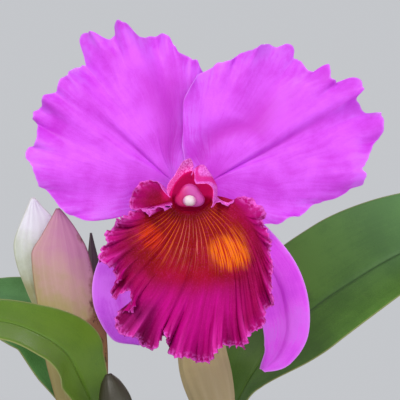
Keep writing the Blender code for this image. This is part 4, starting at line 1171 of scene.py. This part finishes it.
ROOTS = [
    [(-26, 8), (-42, 14), (-53, 18)],
    [(-10, -18), (-20, -36), (-32, -44)],
    [(18, -2), (32, -14), (44, -28)],
    [(20, 2), (38, 8), (53, 12)],
    [(8, -10), (20, -32), (23, -50)],
    [(-28, 20), (-12, 36), (3, 52)],
    [(14, 4), (18, 28), (27, 45)],
]
ROOT_RADIUS = 1.9


def rhizome():
    """Creeping rhizome with its branch and roots, joined in one mesh."""
    height = RHIZOME_HEIGHT
    finish = root_finish()
    main = [(-33, 38, height), (-31, 26, height), (-29, 10, height), (-26, -5, height),
            (-17, -16, height), (-3, -17, height), (8, -9, height), (17, -2, height),
            (27, 3, height)]

    def ringed(t, turn):
        return 1 - 0.07 * np.abs(np.sin(t * 46)) ** 8 + 0.02 * np.sin(3 * turn + 20 * t)

    radii = [(0, 2.5), (0.1, RHIZOME_RADIUS), (0.9, RHIZOME_RADIUS), (1, 2.5)]
    branch = [(-2, -15, height), (2, -24, height), (3, -35, height), (3, -41, height)]
    brown, silvery = {"silver": 0.0}, {"silver": 1.0}
    parts = [stem("rhizome_fine", main, radii, 220, 36, finish, 1.0, ringed, brown),
             stem("branch", branch, [(0, 4), (0.7, 5), (1, 2.5)], 60, 32, finish, 1.0, ringed,
                  brown)]
    radii = [(0, ROOT_RADIUS), (0.7, ROOT_RADIUS), (1, ROOT_RADIUS * 0.8)]
    for number, (start, bend, end) in enumerate(ROOTS):
        path = [(*start, height - 1), (*bend, BARK_TOP + 5), (*end, BARK_TOP - 2),
                (end[0] * 1.02, end[1] * 1.02, BARK_TOP - 16)]

        def knotty(t, turn, number=number):
            return 1 + 0.05 * np.sin(t * 17 + number) + 0.03 * np.sin(2 * turn + t * 30)

        parts.append(stem("root", path, radii, 90, 20, finish, 1.0, knotty, silvery))
    with bpy.context.temp_override(active_object=parts[0], selected_editable_objects=parts):
        bpy.ops.object.join()
    dress(parts[0], "rhizome", "rhizome")


# Bark and pot

def pot_radius(height):
    """Outer radius of the pot below its collar."""
    rise = (POT_RIM_RADIUS - POT_COLLAR_OUT - POT_BASE_RADIUS) / POT_HEIGHT
    return POT_BASE_RADIUS + rise * height


def turned(name, rings, segments, finish):
    """Closed turned solid from rings of (radius, height), capped at both ends."""
    turn = np.linspace(0, math.tau, segments, endpoint=False)
    points = [np.stack([r * np.cos(turn), r * np.sin(turn), np.full(segments, float(h))], axis=-1)
              for r, h in rings]
    faces = tube_faces(len(rings), segments)
    return mesh_object(name, np.concatenate(points), faces, {}, finish)


def pot():
    """Clay pot with a collar, softened edges and drain holes."""
    collar = POT_HEIGHT - POT_COLLAR_HEIGHT
    lip_inner = pot_radius(POT_HEIGHT) - POT_WALL
    rings = [
        (POT_BASE_RADIUS - 3, 0), (POT_BASE_RADIUS - 1.2, 0.5), (POT_BASE_RADIUS - 0.2, 1.8),
        (pot_radius(4), 4), (pot_radius(collar * 0.5), collar * 0.5),
        (pot_radius(collar - 1), collar - 1), (pot_radius(collar) + 0.6, collar),
        (POT_RIM_RADIUS - 2, collar + 0.4), (POT_RIM_RADIUS - 0.5, collar + 1.6),
        (POT_RIM_RADIUS, collar + 4), (POT_RIM_RADIUS + 0.9, POT_HEIGHT - 4),
        (POT_RIM_RADIUS + 0.7, POT_HEIGHT - 1.6), (POT_RIM_RADIUS - 0.8, POT_HEIGHT - 0.2),
        (POT_RIM_RADIUS - 2.5, POT_HEIGHT), (lip_inner + 3, POT_HEIGHT),
        (lip_inner + 1, POT_HEIGHT - 0.8), (lip_inner, POT_HEIGHT - 3),
        (pot_radius(POT_FLOOR + 3) - POT_WALL, POT_FLOOR + 3),
        (pot_radius(POT_FLOOR) - POT_WALL - 3, POT_FLOOR)]
    shell = turned("pot_fine", rings, POT_SEGMENTS, clay_finish())
    for k in range(DRAIN_COUNT):
        turn = math.tau * (k + 0.25) / DRAIN_COUNT
        x, y = DRAIN_RING_RADIUS * math.cos(turn), DRAIN_RING_RADIUS * math.sin(turn)
        hole = stem("drain", [(x, y, -3), (x, y, POT_FLOOR + 3)],
                    [(0, DRAIN_RADIUS), (1, DRAIN_RADIUS)], 1, 48, shell.data.materials[0])
        shell.modifiers.new("Drain", "BOOLEAN").object = hole
        settle(shell)
        bpy.data.objects.remove(hole)
    dress(shell, "clay", "pot")


def chip_tree(finish):
    """Geometry nodes that scatter bark chips on a surface, as one mesh."""
    tree = bpy.data.node_groups.new("bark chips", "GeometryNodeTree")
    face = tree.interface
    face.new_socket("Surface", in_out="INPUT", socket_type="NodeSocketGeometry")
    for name, size in CHIP_SIZES.items():
        socket = face.new_socket(name, in_out="INPUT", socket_type="NodeSocketFloat")
        socket.default_value = size
    face.new_socket("Chips", in_out="OUTPUT", socket_type="NodeSocketGeometry")
    given = add_node(tree, "NodeGroupInput").outputs

    def made(kind, inputs=None, settings=None, output=0):
        """An output of a new node."""
        return add_node(tree, kind, settings, inputs).outputs[output]

    vectors = {"data_type": "FLOAT_VECTOR"}
    points = made("GeometryNodeDistributePointsOnFaces",
                  {"Mesh": given["Surface"], "Distance Min": given["Spacing"],
                   "Density Max": MOST_CHIPS, "Seed": 4}, {"distribute_method": "POISSON"})
    size = made("ShaderNodeCombineXYZ",
                {0: given["Length"], 1: given["Width"], 2: given["Depth"]})
    block = made("GeometryNodeMeshCube", {"Size": size})
    block = made("GeometryNodeSubdivideMesh", {"Mesh": block, "Level": 2})
    turn = made("FunctionNodeRandomValue",
                {0: (-0.45, -0.5, 0.0), 1: (0.45, 0.5, math.tau), "Seed": 11}, vectors)
    scale = made("FunctionNodeRandomValue",
                 {0: (0.5, 0.5, 0.6), 1: (1.25, 1.2, 1.3), "Seed": 12}, vectors)
    placed = made("GeometryNodeInstanceOnPoints",
                  {"Points": points, "Instance": block, "Rotation": turn, "Scale": scale})
    chips = made("GeometryNodeRealizeInstances", {"Geometry": placed})
    relief = made("ShaderNodeTexNoise", {"Vector": made("GeometryNodeInputPosition"),
                                         "Scale": CHIP_RELIEF_SCALE, "Detail": 2.0},
                  output="Color")
    relief = made("ShaderNodeVectorMath", {0: relief, 1: (0.5, 0.5, 0.5)},
                  {"operation": "SUBTRACT"})
    relief = made("ShaderNodeVectorMath", {0: relief, "Scale": CHIP_RELIEF},
                  {"operation": "SCALE"})
    chips = made("GeometryNodeSetPosition", {"Geometry": chips, "Offset": relief})
    chips = made("GeometryNodeSetMaterial", {"Geometry": chips, "Material": finish})
    add_node(tree, "NodeGroupOutput", None, {0: chips})
    return tree


def bark():
    """Bark that fills the pot, with loose chips over its top."""
    finish = bark_finish()
    bottom = POT_FLOOR + GAP
    low = pot_radius(bottom) - POT_WALL - GAP
    high = pot_radius(BARK_TOP) - POT_WALL - GAP
    core = turned("bark_fine", [(low, bottom), (high, BARK_TOP - 2), (high - 2, BARK_TOP - 0.6),
                                (1.0, BARK_TOP - 0.4)], 96, finish)
    dress(core, "bark", "bark")

    feet = [LEAD_FOOT, LEFT_FOOT, MIDDLE_FOOT, OLD_FOOT, NEW_FOOT]
    cell = CHIP_GROUND_CELL
    count = int((high - CHIP_RIM_CLEAR + 1) // cell)
    points, faces = [], []
    for i in range(-count, count + 1):
        for j in range(-count, count + 1):
            x, y = i * cell, j * cell
            near = min(math.hypot(x - fx, y - fy) for fx, fy in feet)
            if math.hypot(x, y) > high - CHIP_RIM_CLEAR or near < CHIP_FOOT_CLEAR:
                continue
            first = len(points)
            for dx, dy in ((-0.5, -0.5), (0.5, -0.5), (0.5, 0.5), (-0.5, 0.5)):
                points.append((x + dx * cell, y + dy * cell, BARK_TOP + CHIP_GROUND_RISE))
            faces.append((first, first + 1, first + 2, first + 3))
    ground = mesh_object("bark_chips", points, faces, {}, finish)
    tree = chip_tree(finish)
    scatter = ground.modifiers.new("Chips", "NODES")
    scatter.node_group = tree
    for item in tree.interface.items_tree:
        if item.item_type == "SOCKET" and item.in_out == "INPUT" and item.name == "Spacing":
            scatter[item.identifier] = CHIP_SPACING
    settle(ground)
    dress(ground, "bark")


# Studio

def camera():
    """Camera at the photograph's place: level, facing the bloom."""
    lens = bpy.data.cameras.new("camera")
    lens.sensor_width = SENSOR
    lens.lens = SENSOR * CAMERA_DISTANCE / (PHOTO_SIZE * MM_PER_PIXEL)
    lens.clip_end = FARTHEST_SEEN
    seat = bpy.data.objects.new("camera", lens)
    seat.location = (CAMERA_SIDE * MM, (BLOOM[1] - CAMERA_DISTANCE) * MM, CAMERA_HEIGHT * MM)
    seat.rotation_euler = (math.radians(90), 0, 0)
    bpy.context.scene.collection.objects.link(seat)
    bpy.context.scene.camera = seat


def lamp(name, place, size, power, tint):
    """Soft square light aimed at the bloom."""
    light = bpy.data.lights.new(name, "AREA")
    light.size = size
    light.energy = power
    light.color = tint
    holder = bpy.data.objects.new(name, light)
    holder.location = place
    aim = Vector(LAMP_AIM) - Vector(place)
    holder.rotation_euler = aim.to_track_quat("-Z", "Y").to_euler()
    bpy.context.scene.collection.objects.link(holder)


def studio():
    """Pale floor, pale surroundings and soft lights."""
    world = bpy.data.worlds.new("studio")
    world.use_nodes = True
    sky = world.node_tree.nodes["Background"]
    sky.inputs["Color"].default_value = SKY
    sky.inputs["Strength"].default_value = SKY_STRENGTH
    bpy.context.scene.world = world
    bpy.context.scene.view_settings.view_transform = "Standard"
    for name, settings in LAMPS.items():
        lamp(name, *settings)
    finish = Finish("studio floor", {"Base Color": colour((184, 184, 186)), "Roughness": 0.8,
                                     "Emission Strength": FLOOR_GLOW, "Emission Color": SKY})
    rings = [(FLOOR_RADIUS, FLOOR_BOTTOM), (FLOOR_RADIUS, FLOOR_TOP), (1, FLOOR_TOP)]
    floor = turned("studio_floor", rings, 96, finish.material)


camera()
for make in (petals, sepals, lip, column, stalk, leaves, sheaths, growths, rhizome, bark, pot,
             studio):
    make()
